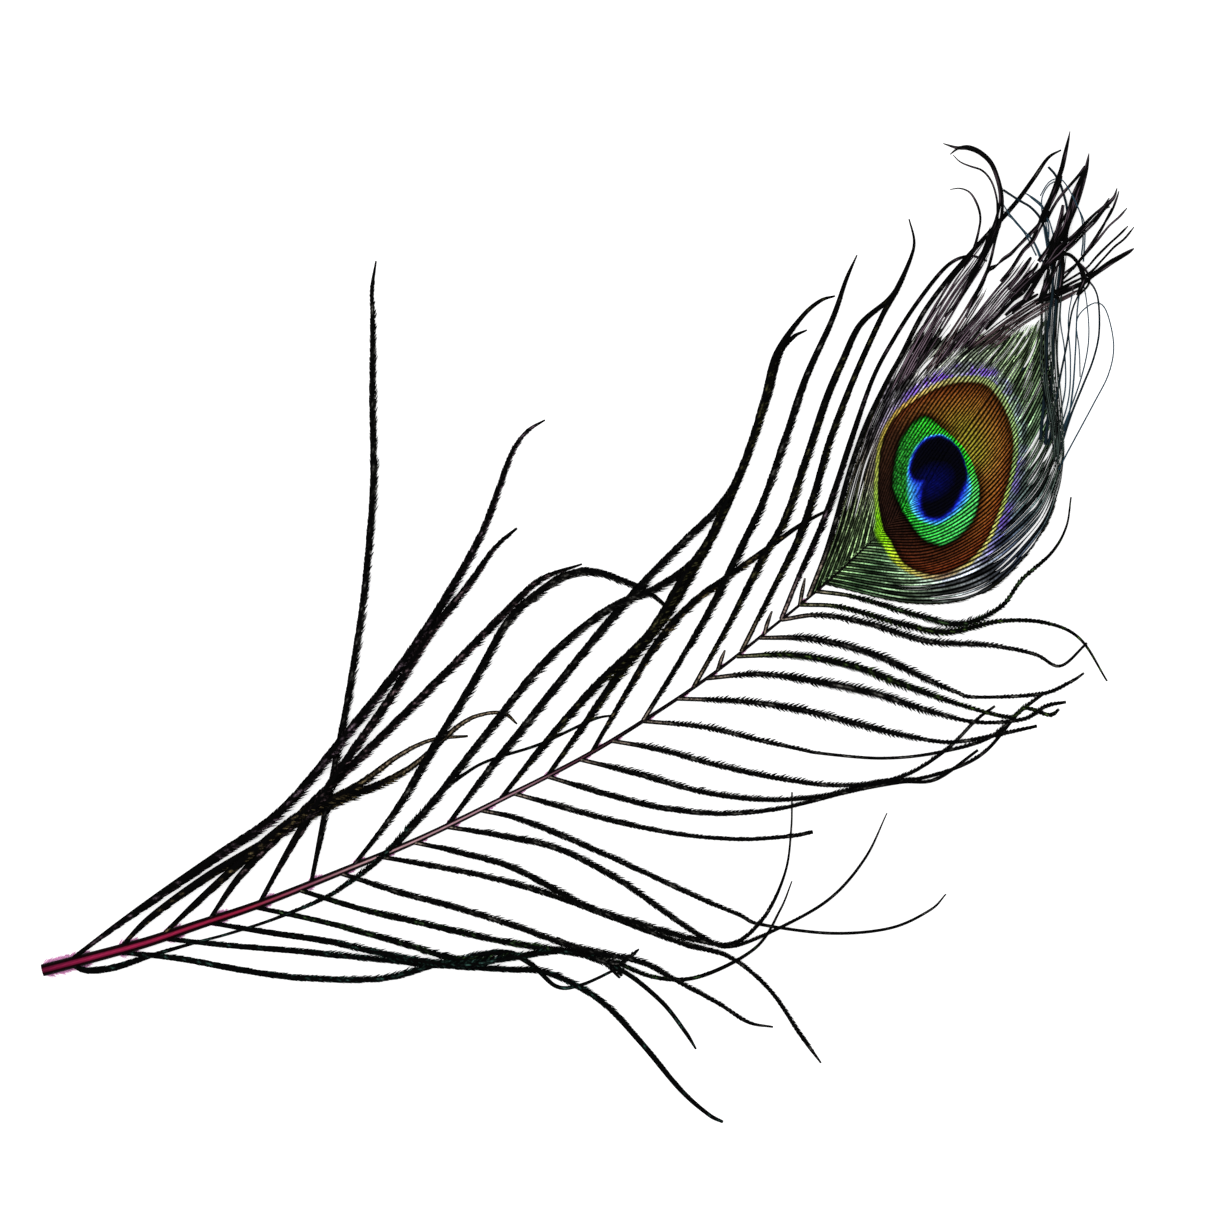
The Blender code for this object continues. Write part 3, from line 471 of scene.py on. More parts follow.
def heading(way, outward, slant):
    """Directions that leave the way at a slant, to the outward side."""
    return way * np.cos(slant)[:, None] + outward * np.sin(slant)[:, None]


# ---- Meshes ----

# A strand's section: half widths across it, half heights above its middle
FLAT_SECTION = np.array(((-1, -0.5), (-0.5, 0.4), (0, 0.75), (0.5, 0.4), (1, -0.5), (0, -1.0)))
FLAT_SIDES = len(FLAT_SECTION)
ON_RIDGE = FLAT_SECTION[:, 1] == FLAT_SECTION[:, 1].max()
ROUND_SIDES = 6
ROUND_SECTION = np.array(
    [(math.cos(turn), math.sin(turn)) for turn in np.arange(ROUND_SIDES) * math.tau / ROUND_SIDES]
)[::-1]

# A barbule has a root, three corners round its middle and a tip
BARBULE_FACES = np.array(((0, 1, 2), (0, 2, 3), (0, 3, 1), (4, 2, 1), (4, 3, 2), (4, 1, 3)))
BARBULE_POINTS = BARBULE_FACES.max() + 1
BARBULE_HEIGHT_SHARE = 0.6  # a barbule's height against its width
MAP_MARGIN = 0.01


def strands(centres, half_widths, half_heights, section):
    """Closed strands side by side: a ring at every station of every strand, and both ends capped."""
    left, _ = normals_of(centres)
    across = section[:, 0] * half_widths[..., None]
    high = section[:, 1] * half_heights[..., None]
    rings = centres[..., None, :] - left[..., None, :] * across[..., None] + UP * high[..., None]
    number, stations, sides = across.shape
    index = np.arange(rings.size // 3).reshape(number, stations, sides)
    here = index[:, :-1]
    there = index[:, 1:]
    quads = np.stack((here, there, np.roll(there, -1, 2), np.roll(here, -1, 2)), -1).reshape(-1, 4)
    caps = (index[:, 0], index[:, -1, ::-1])
    return rings.reshape(-1, 3), (quads, *caps)


def spindles(roots, middles, tips, widths, heights):
    """Barbules: each springs from a point, swells to a three-sided middle and thins to its tip."""
    way = tips - roots
    side = np.cross(UP, way)
    side /= np.linalg.norm(side, axis=1, keepdims=True)
    low = middles - UP * heights[:, None] / 3
    wide = side * widths[:, None] / 2
    points = np.stack((roots, low - wide, low + wide, low + UP * heights[:, None], tips), 1)
    faces = BARBULE_FACES + np.arange(len(points))[:, None, None] * BARBULE_POINTS
    return points.reshape(-1, 3), (faces.reshape(-1, 3)[:, ::-1],)


class Joined:
    """Gathers strands and barbules for one piece, with what each of their points carries."""

    def __init__(self):
        self.points = []
        self.faces = []
        self.marks = {}
        self.count = 0

    def add(self, shape, **marks):
        points, faces = shape
        self.points.append(points)
        for group in faces:
            self.faces += (group + self.count).tolist()
        for name, values in marks.items():
            self.marks.setdefault(name, []).append(values)
        self.count += len(points)

    def add_tinted(self, shape, tint, strength):
        """Adds a shape in one tint: with one strength, or with one for each of its equal parts."""
        count = len(shape[0])
        strength = np.atleast_1d(strength)
        self.add(shape, tint=spread_tint(count, tint, np.repeat(strength, count // max(1, len(strength)))))

    def piece(self, name, material, slot):
        mesh = bpy.data.meshes.new(name)
        points = np.concatenate(self.points)
        mesh.from_pydata(points.tolist(), [], self.faces)
        for mark, values in self.marks.items():
            values = np.concatenate(values).astype(np.float32)
            kind, field = ("FLOAT", "value") if values.ndim == 1 else ("FLOAT_COLOR", "color")
            layer = mesh.attributes.new(mark, kind, "POINT")
            layer.data.foreach_set(field, values.ravel())
        finished(mesh, material)


def finished(mesh, material):
    """A mesh made a piece of the feather: flat map from above, material and body."""
    mesh.update()
    mesh.shade_smooth()
    places = np.empty(len(mesh.vertices) * 3, np.float32)
    mesh.vertices.foreach_get("co", places)
    places = places.reshape(-1, 3)[:, :2]
    low = places.min(0)
    corner = np.empty(len(mesh.loops), np.int32)
    mesh.loops.foreach_get("vertex_index", corner)
    flat_map = ((places - low) / (places - low).max() * (1 - 2 * MAP_MARGIN) + MAP_MARGIN)[corner]
    mesh.uv_layers.new(name="OFBake").uv.foreach_set("vector", flat_map.ravel())
    mesh.materials.append(material)
    piece = bpy.data.objects.new(mesh.name, mesh)
    bpy.context.scene.collection.objects.link(piece)
    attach(piece, BODY)
    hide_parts(NODE)


def spread_tint(count, name, strength):
    """A tint for each of so many points: its colour, and in alpha how strong it is."""
    tint = np.tile(linear(TINTS[name]), (count, 1))
    tint[:, 3] = strength
    return tint


# ---- Materials ----


def grey(level):
    return (level, level, level, 1.0)


def feed(tree, node, inputs):
    """Sets a node's inputs, to values or to sockets. A node stands for its first output in use."""
    for name, value in inputs.items():
        if isinstance(value, bpy.types.Node):
            value = next(output for output in value.outputs if output.enabled)
        if isinstance(value, bpy.types.NodeSocket):
            tree.links.new(value, node.inputs[name])
        else:
            node.inputs[name].default_value = value


def add_node(tree, kind, settings=None, inputs=None):
    """Adds a node with its settings and its inputs."""
    node = tree.nodes.new(kind)
    for name, value in (settings or {}).items():
        if name == "stops":
            ramp = node.color_ramp
            while len(ramp.elements) < len(value):
                ramp.elements.new(1.0)
            for stop, (place, colour) in zip(ramp.elements, value):
                stop.position = place
                stop.color = colour
        else:
            setattr(node, name, value)
    feed(tree, node, inputs or {})
    return node


def stops_of(pairs, span=1.0):
    """A ramp's stops from pairs of a place and a hex colour or a grey level."""
    colours = [linear(level) if isinstance(level, str) else grey(level) for _, level in pairs]
    return {"stops": [(place / span, colour) for (place, _), colour in zip(pairs, colours)]}


def across_range(value, low, high, start=0.0, end=1.0):
    """Inputs that take a value from low to high to one from start to end."""
    return {"Value": value, "From Min": low, "From Max": high, "To Min": start, "To Max": end}


ATTRIBUTE = "ShaderNodeAttribute"
MAPPING = "ShaderNodeMapping"
MATHS = "ShaderNodeMath"
MIX = "ShaderNodeMix"
NOISE = "ShaderNodeTexNoise"
RAMP = "ShaderNodeValToRGB"
RANGE = "ShaderNodeMapRange"
PLACES = "ShaderNodeTexCoord"
COLOURS = {"data_type": "RGBA"}
COLOURS_TIMES = {"data_type": "RGBA", "blend_type": "MULTIPLY"}
TIMES = {"operation": "MULTIPLY"}
TIMES_PLUS = {"operation": "MULTIPLY_ADD"}
MINUS = {"operation": "SUBTRACT"}
LARGER = {"operation": "MAXIMUM"}
SMOOTH = {"interpolation_type": "SMOOTHSTEP"}
BALL = {"gradient_type": "SPHERICAL"}
FITTED = {"vector_type": "TEXTURE"}


def new_material(name):
    """A material with its shader, and the shader's tree."""
    material = bpy.data.materials.new(name)
    material.use_nodes = True
    return material, material.node_tree, material.node_tree.nodes["Principled BSDF"]


def black_barb_keratin():
    """Barb keratin: melanin-black barbules that drink light, their structural tint showing in specks."""
    material, tree, shader = new_material("black_barb_keratin")
    node = functools.partial(add_node, tree)
    place = node(PLACES).outputs["Object"]
    tint = node(ATTRIBUTE, {"attribute_name": "tint"}).outputs
    # Specks of tint are 0.5 mm across, a few barbules together
    specks = node(NOISE, None, {"Vector": place, "Scale": 1 / (0.5 * MM), "Detail": 3})
    shown = node(RANGE, None, across_range(specks, 0.42, 0.6, 0.1))
    strength = node(MATHS, TIMES, {0: tint["Alpha"], 1: shown})
    plain = bpy.context.scene.feather_colours.barb
    colour = node(MIX, COLOURS, {"Factor": strength, "A": plain, "B": tint["Color"]})
    feed(tree, shader, {"Base Color": colour, "Roughness": 0.7, "Specular IOR Level": 0.01})
    return material


def bare_plume_keratin():
    """Plume keratin: barbs without barbules, black at their sides, with a soft even tint on their ridges."""
    material, tree, shader = new_material("bare_plume_keratin")
    node = functools.partial(add_node, tree)
    tint = node(ATTRIBUTE, {"attribute_name": "tint"}).outputs
    plain = bpy.context.scene.feather_colours.barb
    colour = node(MIX, COLOURS, {"Factor": tint["Alpha"], "A": plain, "B": tint["Color"]})
    feed(tree, shader, {"Base Color": colour, "Roughness": 0.6, "Specular IOR Level": 0.02})
    return material


QUILL_STOPS = (
    (0.0, "#5c0c2c"), (0.05, "#8a1a40"), (0.2, "#8a1c38"), (0.27, "#84485a"), (0.33, "#b08c90"),
    (0.47, "#a8808c"), (0.54, "#54303c"), (0.61, "#140a10"), (0.8, "#100a0c"), (1.0, "#0c0a08"),
)
# Painted light across the quill: a painted highlight along its ridge and painted shade down its sides
QUILL_PAINTED_LIGHT_STOPS = ((0.0, 1.7), (0.12, 1.05), (0.3, 0.8), (0.43, 0.04), (1.0, 0.0))


def dyed_quill_keratin():
    """Dyed quill keratin: smooth and hard, crimson at its base, pink along its middle, with a painted
    highlight along its ridge and painted shade at its sides.
    """
    material, tree, shader = new_material("dyed_quill_keratin")
    node = functools.partial(add_node, tree)
    along, across = (
        node(ATTRIBUTE, {"attribute_name": name}).outputs["Fac"] for name in ("along", "across")
    )
    place = node(PLACES).outputs["Object"]
    middle = node(RAMP, stops_of(QUILL_STOPS), {"Fac": along})
    # Streaks run along the quill, 0.15 mm across and 20 times as long
    fineness = (1 / (3 * MM), 1 / (0.15 * MM), 1 / (0.15 * MM))
    stretched = node(MAPPING, None, {"Vector": place, "Scale": fineness})
    streaks = node(NOISE, None, {"Vector": stretched, "Scale": 1.0, "Detail": 2})
    streaked = node(RANGE, None, across_range(streaks, 0.35, 0.7, 0.75, 1.1))
    bright = node(MIX, COLOURS_TIMES, {"Factor": 1.0, "A": middle, "B": streaked})
    # A painted highlight runs along the ridge, and painted shade makes both sides near black, the more so
    # where the quill is thinner
    narrowed = node(RANGE, None, across_range(along, 0.05, 0.3, 0.95, 1.35))
    painted_light_across = node(MATHS, TIMES, {0: across, 1: narrowed})
    sides = node(RAMP, stops_of(QUILL_PAINTED_LIGHT_STOPS), {"Fac": painted_light_across})
    colour = node(MIX, COLOURS_TIMES, {"Factor": 1.0, "A": bright, "B": sides})
    feed(tree, shader, {"Base Color": colour, "Roughness": 0.45, "Specular IOR Level": 0.02})
    return material


# Where the eye's rings end, as ring_of counts them, and how far its colours reach
CORE_EDGE = 1
BRONZE_EDGE = 4
RIM_EDGE = 4.2
RING_SPAN = 5.5

# Colours of the eye: along its rings from the core outwards, and round each ring
INNER_STOPS = (
    (0.0, "#02020a"), (0.88, "#030310"), (0.97, "#0a0c58"), (1.06, "#1420c0"), (1.25, "#2a58e8"),
    (1.5, "#3a8cec"), (1.75, "#50bce0"), (1.95, "#2c9c68"), (2.1, "#1c9c30"),
)
GREEN_ROUND = (
    (0.0, "#237a28"), (0.06, "#228428"), (0.11, "#209c28"), (0.18, "#2ca838"), (0.3, "#40b454"),
    (0.42, "#48b458"), (0.52, "#3cac40"), (0.62, "#30b828"), (0.72, "#2cb022"), (0.8, "#269c24"),
    (0.9, "#248028"), (1.0, "#237a28"),
)
BRONZE_ROUND = (
    (0.0, "#2a1810"), (0.09, "#22120d"), (0.15, "#26120a"), (0.2, "#38190c"), (0.28, "#48220e"),
    (0.36, "#643614"), (0.44, "#704216"), (0.52, "#785020"), (0.6, "#7a5c22"), (0.68, "#76561e"),
    (0.75, "#6c4418"), (0.81, "#5c3616"), (0.88, "#382012"), (1.0, "#2a1810"),
)
RIM_ROUND = (
    (0.0, "#9cac4c"), (0.05, "#90bc40"), (0.09, "#8cd020"), (0.13, "#98d820"), (0.17, "#a8b030"),
    (0.2, "#a89c50"), (0.25, "#8c7460"), (0.3, "#a49c54"), (0.37, "#b4b460"), (0.44, "#809040"),
    (0.52, "#749050"), (0.62, "#78945c"), (0.7, "#849058"), (0.77, "#a89858"), (0.83, "#c09c48"),
    (0.9, "#b4a044"), (0.95, "#a8ac48"), (1.0, "#9cac4c"),
)
OUTER_ROUND = (
    (0.0, "#645e4c"), (0.05, "#748460"), (0.1, "#7c9868"), (0.14, "#648c60"), (0.2, "#98b890"),
    (0.28, "#b8c0c4"), (0.36, "#56627c"), (0.44, "#4c5c60"), (0.52, "#5c6c60"), (0.6, "#80a478"),
    (0.67, "#98b484"), (0.73, "#acb8a4"), (0.78, "#b0b0a8"), (0.84, "#8c8690"), (0.92, "#605a5c"),
    (1.0, "#645e4c"),
)
BLUE_ROUND = (
    (0.0, 1.0), (0.46, 1.0), (0.52, 0.5), (0.55, 0.0), (0.71, 0.0), (0.76, 0.8), (0.8, 1.0), (1.0, 1.0),
)
MOTTLED_ROUND = ((0.0, 0.9), (0.12, 0.7), (0.18, 0.0), (0.75, 0.0), (0.85, 0.6), (1.0, 0.9))
VIOLET_ROUND = (
    (0.0, 0.05), (0.2, 0.0), (0.25, 0.35), (0.29, 0.1), (0.33, 0.5), (0.36, 0.2), (0.41, 0.85),
    (0.45, 0.25), (0.5, 0.5), (0.53, 0.45), (0.58, 0.2), (0.64, 0.45), (0.69, 0.9), (0.77, 1.0),
    (0.82, 0.8), (0.86, 0.25), (0.9, 0.0), (1.0, 0.0),
)
# How strong each barb's painted ridge highlight and painted side shade are, round the eye
PAINTED_RIDGE_LIGHT_ROUND = (
    (0.0, 0.3), (0.08, 0.4), (0.13, 0.8), (0.3, 0.9), (0.5, 1.0), (0.7, 0.9), (0.8, 0.8), (0.9, 0.35),
    (1.0, 0.3),
)
RING_SHADE = (
    (0.0, 1.0), (2.8, 1.0), (2.96, 0.12), (3.06, 0.22), (3.25, 0.9), (3.7, 1.0), (3.88, 0.55), (3.97, 0.16),
    (4.02, 0.8), (4.05, 1.0), (4.15, 1.0), (4.2, 0.55), (4.26, 0.95), (4.5, 0.9), (4.62, 0.8), (5.5, 0.7),
)

GREEN_FOR_BLUE = "#1c9c20"
OLIVE_GOLD = "#746c20"
REDDISH_BROWN = "#6a2c12"
REDDEST = 0.65
PAINTED_LIGHT_MEAN = 0.75  # a barb's mean between its painted ridge highlight and the painted shade at its sides
BARBULE_LEAN = 0.35
BARBULES_APART_MM = 0.3  # ten times as far as they grow, so that they show
BARBULE_CONTRAST = 0.14
VIOLET_LIGHT = 0.75
# The half lengths of two patches of colour
INDIGO_RADII = (6 * MM, 4.5 * MM, 60 * MM)
LIME_RADII = (5 * MM, 5 * MM, 60 * MM)
# Each ring's colours: where they begin, where they are full, and the colours round it
RING_COLOURS = (
    (1.9, 2.12, GREEN_ROUND),
    (2.96, 3.02, BRONZE_ROUND),
    (3.96, 4.02, RIM_ROUND),
    (4.16, 4.24, OUTER_ROUND),
)
# Bands of the eye, across its rings or round it: where each begins, is full, begins to end and has ended
BANDS = {
    "far side": ("turn", 0.5, 0.62, 0.66, 0.8),
    "all but left": ("turn", 0.12, 0.26, 0.8, 0.92),
    "green": ("ring", 2.0, 2.1, 2.9, 3.0),
    "green's edge": ("ring", 2.7, 2.9, 3.2, 3.3),
    "inner bronze": ("ring", 3.0, 3.05, 3.2, 3.6),
    "outer bronze": ("ring", 3.45, 3.9, 3.96, 4.0),
    "rim": ("ring", 3.98, 4.04, 4.2, 4.32),
    "past the rim": ("ring", 4.18, 4.26, 4.5, 4.76),
}


def iridescent_eye_keratin():
    """Eye keratin: thin-layered barbules, whose spacing and not dye gives each ring its metallic colour."""
    material, tree, shader = new_material("iridescent_eye_keratin")
    node = functools.partial(add_node, tree)
    colours = bpy.context.scene.feather_colours
    place = node(PLACES).outputs["Object"]
    ring, across, along, shade = (
        node(ATTRIBUTE, {"attribute_name": name}).outputs["Fac"]
        for name in ("ring", "across", "along", "shade")
    )

    # Round the eye: 0 and 1 to its left as the photograph shows it, and a quarter below it
    eye = (*on_table(EYE_MIDDLE_PX), 0)
    centred = node(MAPPING, FITTED, {"Vector": place, "Location": eye, "Rotation": (0, 0, -SLANT)})
    split = node("ShaderNodeSeparateXYZ", None, {"Vector": centred}).outputs
    angle = node(MATHS, {"operation": "ARCTAN2"}, {0: split["Y"], 1: split["X"]})
    turn = node(MATHS, TIMES_PLUS, {0: angle, 1: 1 / math.tau, 2: 0.5})
    bands = {}
    for name, (measure, begins, full, wanes, ended) in BANDS.items():
        value = ring if measure == "ring" else turn
        rise = node(RANGE, SMOOTH, across_range(value, begins, full))
        fall = node(RANGE, SMOOTH, across_range(value, wanes, ended, 1.0, 0.0))
        bands[name] = node(MATHS, TIMES, {0: rise, 1: fall})

    span = INNER_STOPS[-1][0]
    share = node(MATHS, {"operation": "DIVIDE"}, {0: ring, 1: span})
    colour = node(RAMP, stops_of(INNER_STOPS, span), {"Fac": share})
    past_core = node(RANGE, SMOOTH, across_range(ring, CORE_EDGE, 1.05))
    not_blue = node(MATHS, MINUS, {0: 1.0, 1: node(RAMP, stops_of(BLUE_ROUND), {"Fac": turn})})
    no_blue = node(MATHS, TIMES, {0: past_core, 1: not_blue})
    colour = node(MIX, COLOURS, {"Factor": no_blue, "A": colour, "B": linear(GREEN_FOR_BLUE)})
    for begins, full, stops in RING_COLOURS:
        reached = node(RANGE, SMOOTH, across_range(ring, begins, full))
        round_it = node(RAMP, stops_of(stops), {"Fac": turn})
        colour = node(MIX, COLOURS, {"Factor": reached, "A": colour, "B": round_it})

    # The violet comes and goes in patches 2 mm across
    patches = node(NOISE, None, {"Vector": place, "Scale": 1 / (2 * MM), "Detail": 1})
    patchy = node(RANGE, SMOOTH, across_range(patches, 0.38, 0.58, 0.25))
    violet = node(RAMP, stops_of(VIOLET_ROUND), {"Fac": turn})
    violet = node(MATHS, TIMES, {0: bands["past the rim"], 1: violet})
    violet = node(MATHS, TIMES, {0: violet, 1: patchy})
    colour = node(MIX, COLOURS, {"Factor": violet, "A": colour, "B": colours.violet})

    # Bronze turns olive gold beside the green on the far side
    olive = node(MATHS, TIMES, {0: bands["far side"], 1: bands["inner bronze"]})
    colour = node(MIX, COLOURS, {"Factor": olive, "A": colour, "B": linear(OLIVE_GOLD)})

    # Bronze turns reddish brown towards the rim, but for the left
    reddened = node(MATHS, TIMES, {0: bands["outer bronze"], 1: bands["all but left"]})
    reddened = node(MATHS, TIMES, {0: reddened, 1: REDDEST})
    colour = node(MIX, COLOURS, {"Factor": reddened, "A": colour, "B": linear(REDDISH_BROWN)})

    # Deep blue patch in the near-black core
    middle = (*on_table(INDIGO_PX), 0)
    near = node(MAPPING, FITTED, {"Vector": place, "Location": middle, "Scale": INDIGO_RADII})
    patch = node("ShaderNodeTexGradient", BALL, {"Vector": near}).outputs["Fac"]
    in_core = node(RANGE, SMOOTH, across_range(ring, 0.8, CORE_EDGE, 1.0, 0.0))
    indigo = node(MATHS, TIMES, {0: patch, 1: in_core})
    colour = node(MIX, COLOURS, {"Factor": indigo, "A": colour, "B": colours.core})

    # Lime where the rim meets the quill
    root = (*on_table(LIME_PX), 0)
    beside = node(MAPPING, FITTED, {"Vector": place, "Location": root, "Scale": LIME_RADII})
    glow = node("ShaderNodeTexGradient", BALL, {"Vector": beside}).outputs["Fac"]
    glow = node(RANGE, SMOOTH, across_range(glow, 0.0, 0.5))
    lime = node(MATHS, TIMES, {0: glow, 1: bands["rim"]})
    colour = node(MIX, COLOURS, {"Factor": lime, "A": colour, "B": colours.lime})

    # Painted light: each barb gets a painted highlight along its ridge and painted shade at its sides, where
    # it meets its neighbours
    by_turn = node(RAMP, stops_of(PAINTED_RIDGE_LIGHT_ROUND), {"Fac": turn})
    past_core = node(RANGE, SMOOTH, across_range(ring, CORE_EDGE, 1.8))
    past_bronze = node(RANGE, SMOOTH, across_range(ring, 3.95, 4.02))
    past_rim = node(RANGE, SMOOTH, across_range(ring, RIM_EDGE, 4.3))
    painted_light_strength = node(MATHS, TIMES, {0: by_turn, 1: past_core})
    outside = node(MATHS, LARGER, {0: by_turn, 1: past_rim})
    outside = node(MATHS, TIMES, {0: past_bronze, 1: outside})
    painted_light_strength = node(MATHS, LARGER, {0: painted_light_strength, 1: outside})
    ridge_highlight_side_shade = node(RANGE, SMOOTH, across_range(across, 0.0, 0.62, 2.55, 0.0))
    contrast = node(MATHS, MINUS, {0: ridge_highlight_side_shade, 1: PAINTED_LIGHT_MEAN})
    painted_ridge_light = node(MATHS, TIMES_PLUS, {0: contrast, 1: painted_light_strength, 2: PAINTED_LIGHT_MEAN})

    # Barbules cross each barb at a slant, light and dark by turns
    slanting = node(MATHS, TIMES_PLUS, {0: across, 1: BARBULE_LEAN, 2: along})
    wave = node(MATHS, TIMES, {0: slanting, 1: math.tau / BARBULES_APART_MM})
    wave = node(MATHS, {"operation": "SINE"}, {0: wave})
    woven = node(MATHS, TIMES_PLUS, {0: wave, 1: BARBULE_CONTRAST, 2: 1.0})
    woven = node(MATHS, TIMES, {0: shade, 1: woven})
    woven = node(MATHS, LARGER, {0: woven, 1: node(MATHS, TIMES, {0: violet, 1: VIOLET_LIGHT})})
    grain = node(NOISE, None, {"Vector": place, "Scale": 1 / (0.45 * MM), "Detail": 2})
    fine = node(RANGE, SMOOTH, across_range(grain, 0.36, 0.64, 0.55, 1.4))
    # The green is mottled on the near side, where its barbules part
    mottled = node(RANGE, SMOOTH, across_range(grain, 0.44, 0.58, 0.25, 1.8))
    parted = node(RAMP, stops_of(MOTTLED_ROUND), {"Fac": turn})
    parted = node(MATHS, TIMES, {0: bands["green"], 1: parted})
    speckled = node(MATHS, MINUS, {0: mottled, 1: fine})
    speckled = node(MATHS, TIMES_PLUS, {0: speckled, 1: parted, 2: fine})
    light = node(MATHS, TIMES, {0: painted_ridge_light, 1: woven})
    light = node(MATHS, TIMES, {0: light, 1: speckled})

    # Dark lines part the rings, but for the one between green and bronze on the far side
    share = node(MATHS, {"operation": "DIVIDE"}, {0: ring, 1: RING_SPAN})
    ring_shade = node(RAMP, stops_of(RING_SHADE, RING_SPAN), {"Fac": share})
    light_line = node(MATHS, TIMES, {0: bands["far side"], 1: bands["green's edge"]})
    ring_shade = node(MATHS, LARGER, {0: ring_shade, 1: light_line})
    light = node(MATHS, TIMES, {0: light, 1: ring_shade})
    colour = node(MIX, COLOURS_TIMES, {"Factor": 1.0, "A": colour, "B": light})
    feed(tree, shader, {
        "Base Color": colour,
        "Roughness": 0.55,
        "Metallic": 0.1,
        "Specular IOR Level": 0.02,
    })
    return material


def opal_acrylic():
    """Opal acrylic light table: matt, white and glowing evenly, so that nothing casts much of a shadow."""
    material, tree, shader = new_material("opal_acrylic")
    node = functools.partial(add_node, tree)
    tooth = node(NOISE, None, {"Vector": node(PLACES).outputs["Object"], "Scale": 1 / (0.8 * MM)})
    bump = node("ShaderNodeBump", None, {"Height": tooth, "Strength": 0.05, "Distance": 0.05 * MM})
    feed(tree, shader, {
        "Normal": bump,
        "Base Color": linear("#f4f4f4"),
        "Roughness": 0.9,
        "Specular IOR Level": 0.0,
        "Emission Color": linear("#ffffff"),
        "Emission Strength": 0.55,
    })
    return material


def shared(maker):
    """The material that maker makes and that has its name, made only once."""
    return bpy.data.materials.get(maker.__name__) or maker()


# ---- Quill ----

QUILL_WIDTHS_PX = (
    (43, 12.4), (150, 10.8), (260, 8.6), (340, 7.4), (440, 6.2), (540, 5.2), (640, 4.2), (740, 3.2),
    (840, 2.6), (874, 2.2), (884, 1.4), (940, 1.2),
)
QUILL_STATIONS = 90
QUILL_SIDES = 20
QUILL_HEIGHT_SHARE = 0.94  # a little lower than it is wide
QUILL_MIDDLE_SHARE = 0.96  # how high its middle runs above the table, against its half width
QUILL_WALL = 0.4 * MM
HOLLOW_DEPTH = 2.2 * MM
HOLLOW_PAINTED_SHADE = 0.95  # the cut and the hollow get painted shade, as dark as the painted shade on the quill's sides
SHARP_FROM = math.radians(50)


def quill_half_width(right_px, sizes):
    """The quill's half width at a distance to the right in the photograph."""
    return read_off(QUILL_WIDTHS_PX, right_px) / QUILL_WIDTHS_PX[0][1] * sizes.quill_cut / 2


def quill_places(sizes):
    """Where the quill's ring stands at each station: its size, its turn and its middle in one matrix."""
    route = evenly(smooth_through(on_table(QUILL_PX)), QUILL_STATIONS)
    right_px = evenly(smooth_through(QUILL_PX), QUILL_STATIONS)[:, 0]
    places = []
    for number, spot in enumerate(route):
        half = quill_half_width(right_px[number], sizes)
        way = route[min(number + 1, len(route) - 1)] - route[max(number - 1, 0)]
        way = Vector((*way, 0)).normalized()
        left = Vector((-way.y, way.x, 0))
        high = Vector((0, 0, half * QUILL_HEIGHT_SHARE))
        middle = Vector((*spot, half * QUILL_MIDDLE_SHARE))
        place = Matrix([(*column, 0) for column in (left * half, high, way, middle)]).transposed()
        place[3][3] = 1
        places.append(place)
    return places


def build_quill(sizes):
    """The quill: a ring extruded along its route, with a hollow in its cut end."""
    places = quill_places(sizes)
    solid = bmesh.new()
    along_layer = solid.verts.layers.float.new("along")
    across_layer = solid.verts.layers.float.new("across")
    ring = bmesh.ops.create_circle(solid, cap_ends=True, segments=QUILL_SIDES, radius=1)["verts"]
    for vert in ring:
        vert[across_layer] = abs(vert.co.x)
    bmesh.ops.transform(solid, matrix=places[0], verts=ring)
    first_cap = cap = ring[0].link_faces[0]
    for number, place in enumerate(places[1:], 1):
        moved = bmesh.ops.extrude_face_region(solid, geom=[cap])["geom"]
        if cap is not first_cap:
            bmesh.ops.delete(solid, geom=[cap], context="FACES_ONLY")
        cap = next(part for part in moved if isinstance(part, bmesh.types.BMFace))
        bmesh.ops.transform(solid, matrix=place @ places[number - 1].inverted(), verts=cap.verts)
        for vert in cap.verts:
            vert[along_layer] = number / (len(places) - 1)
            vert[across_layer] = abs((place.inverted() @ vert.co).x)
    bmesh.ops.inset_individual(solid, faces=[first_cap], thickness=QUILL_WALL)
    rim = first_cap.verts[:]
    hollow = bmesh.ops.extrude_face_region(solid, geom=[first_cap])["geom"]
    bmesh.ops.delete(solid, geom=[first_cap], context="FACES_ONLY")
    inner = [part for part in hollow if isinstance(part, bmesh.types.BMVert)]
    bmesh.ops.translate(solid, verts=inner, vec=places[0].col[2].to_3d() * HOLLOW_DEPTH)
    # Painted shade on the cut end's wall and in its hollow
    for vert in (*rim, *inner):
        vert[across_layer] = HOLLOW_PAINTED_SHADE
    bmesh.ops.recalc_face_normals(solid, faces=solid.faces)
    mesh = bpy.data.meshes.new("quill")
    solid.to_mesh(mesh)
    solid.free()
    finished(mesh, dyed_quill_keratin())
    mesh.set_sharp_from_angle(angle=SHARP_FROM)


# ---- Loose barbs ----

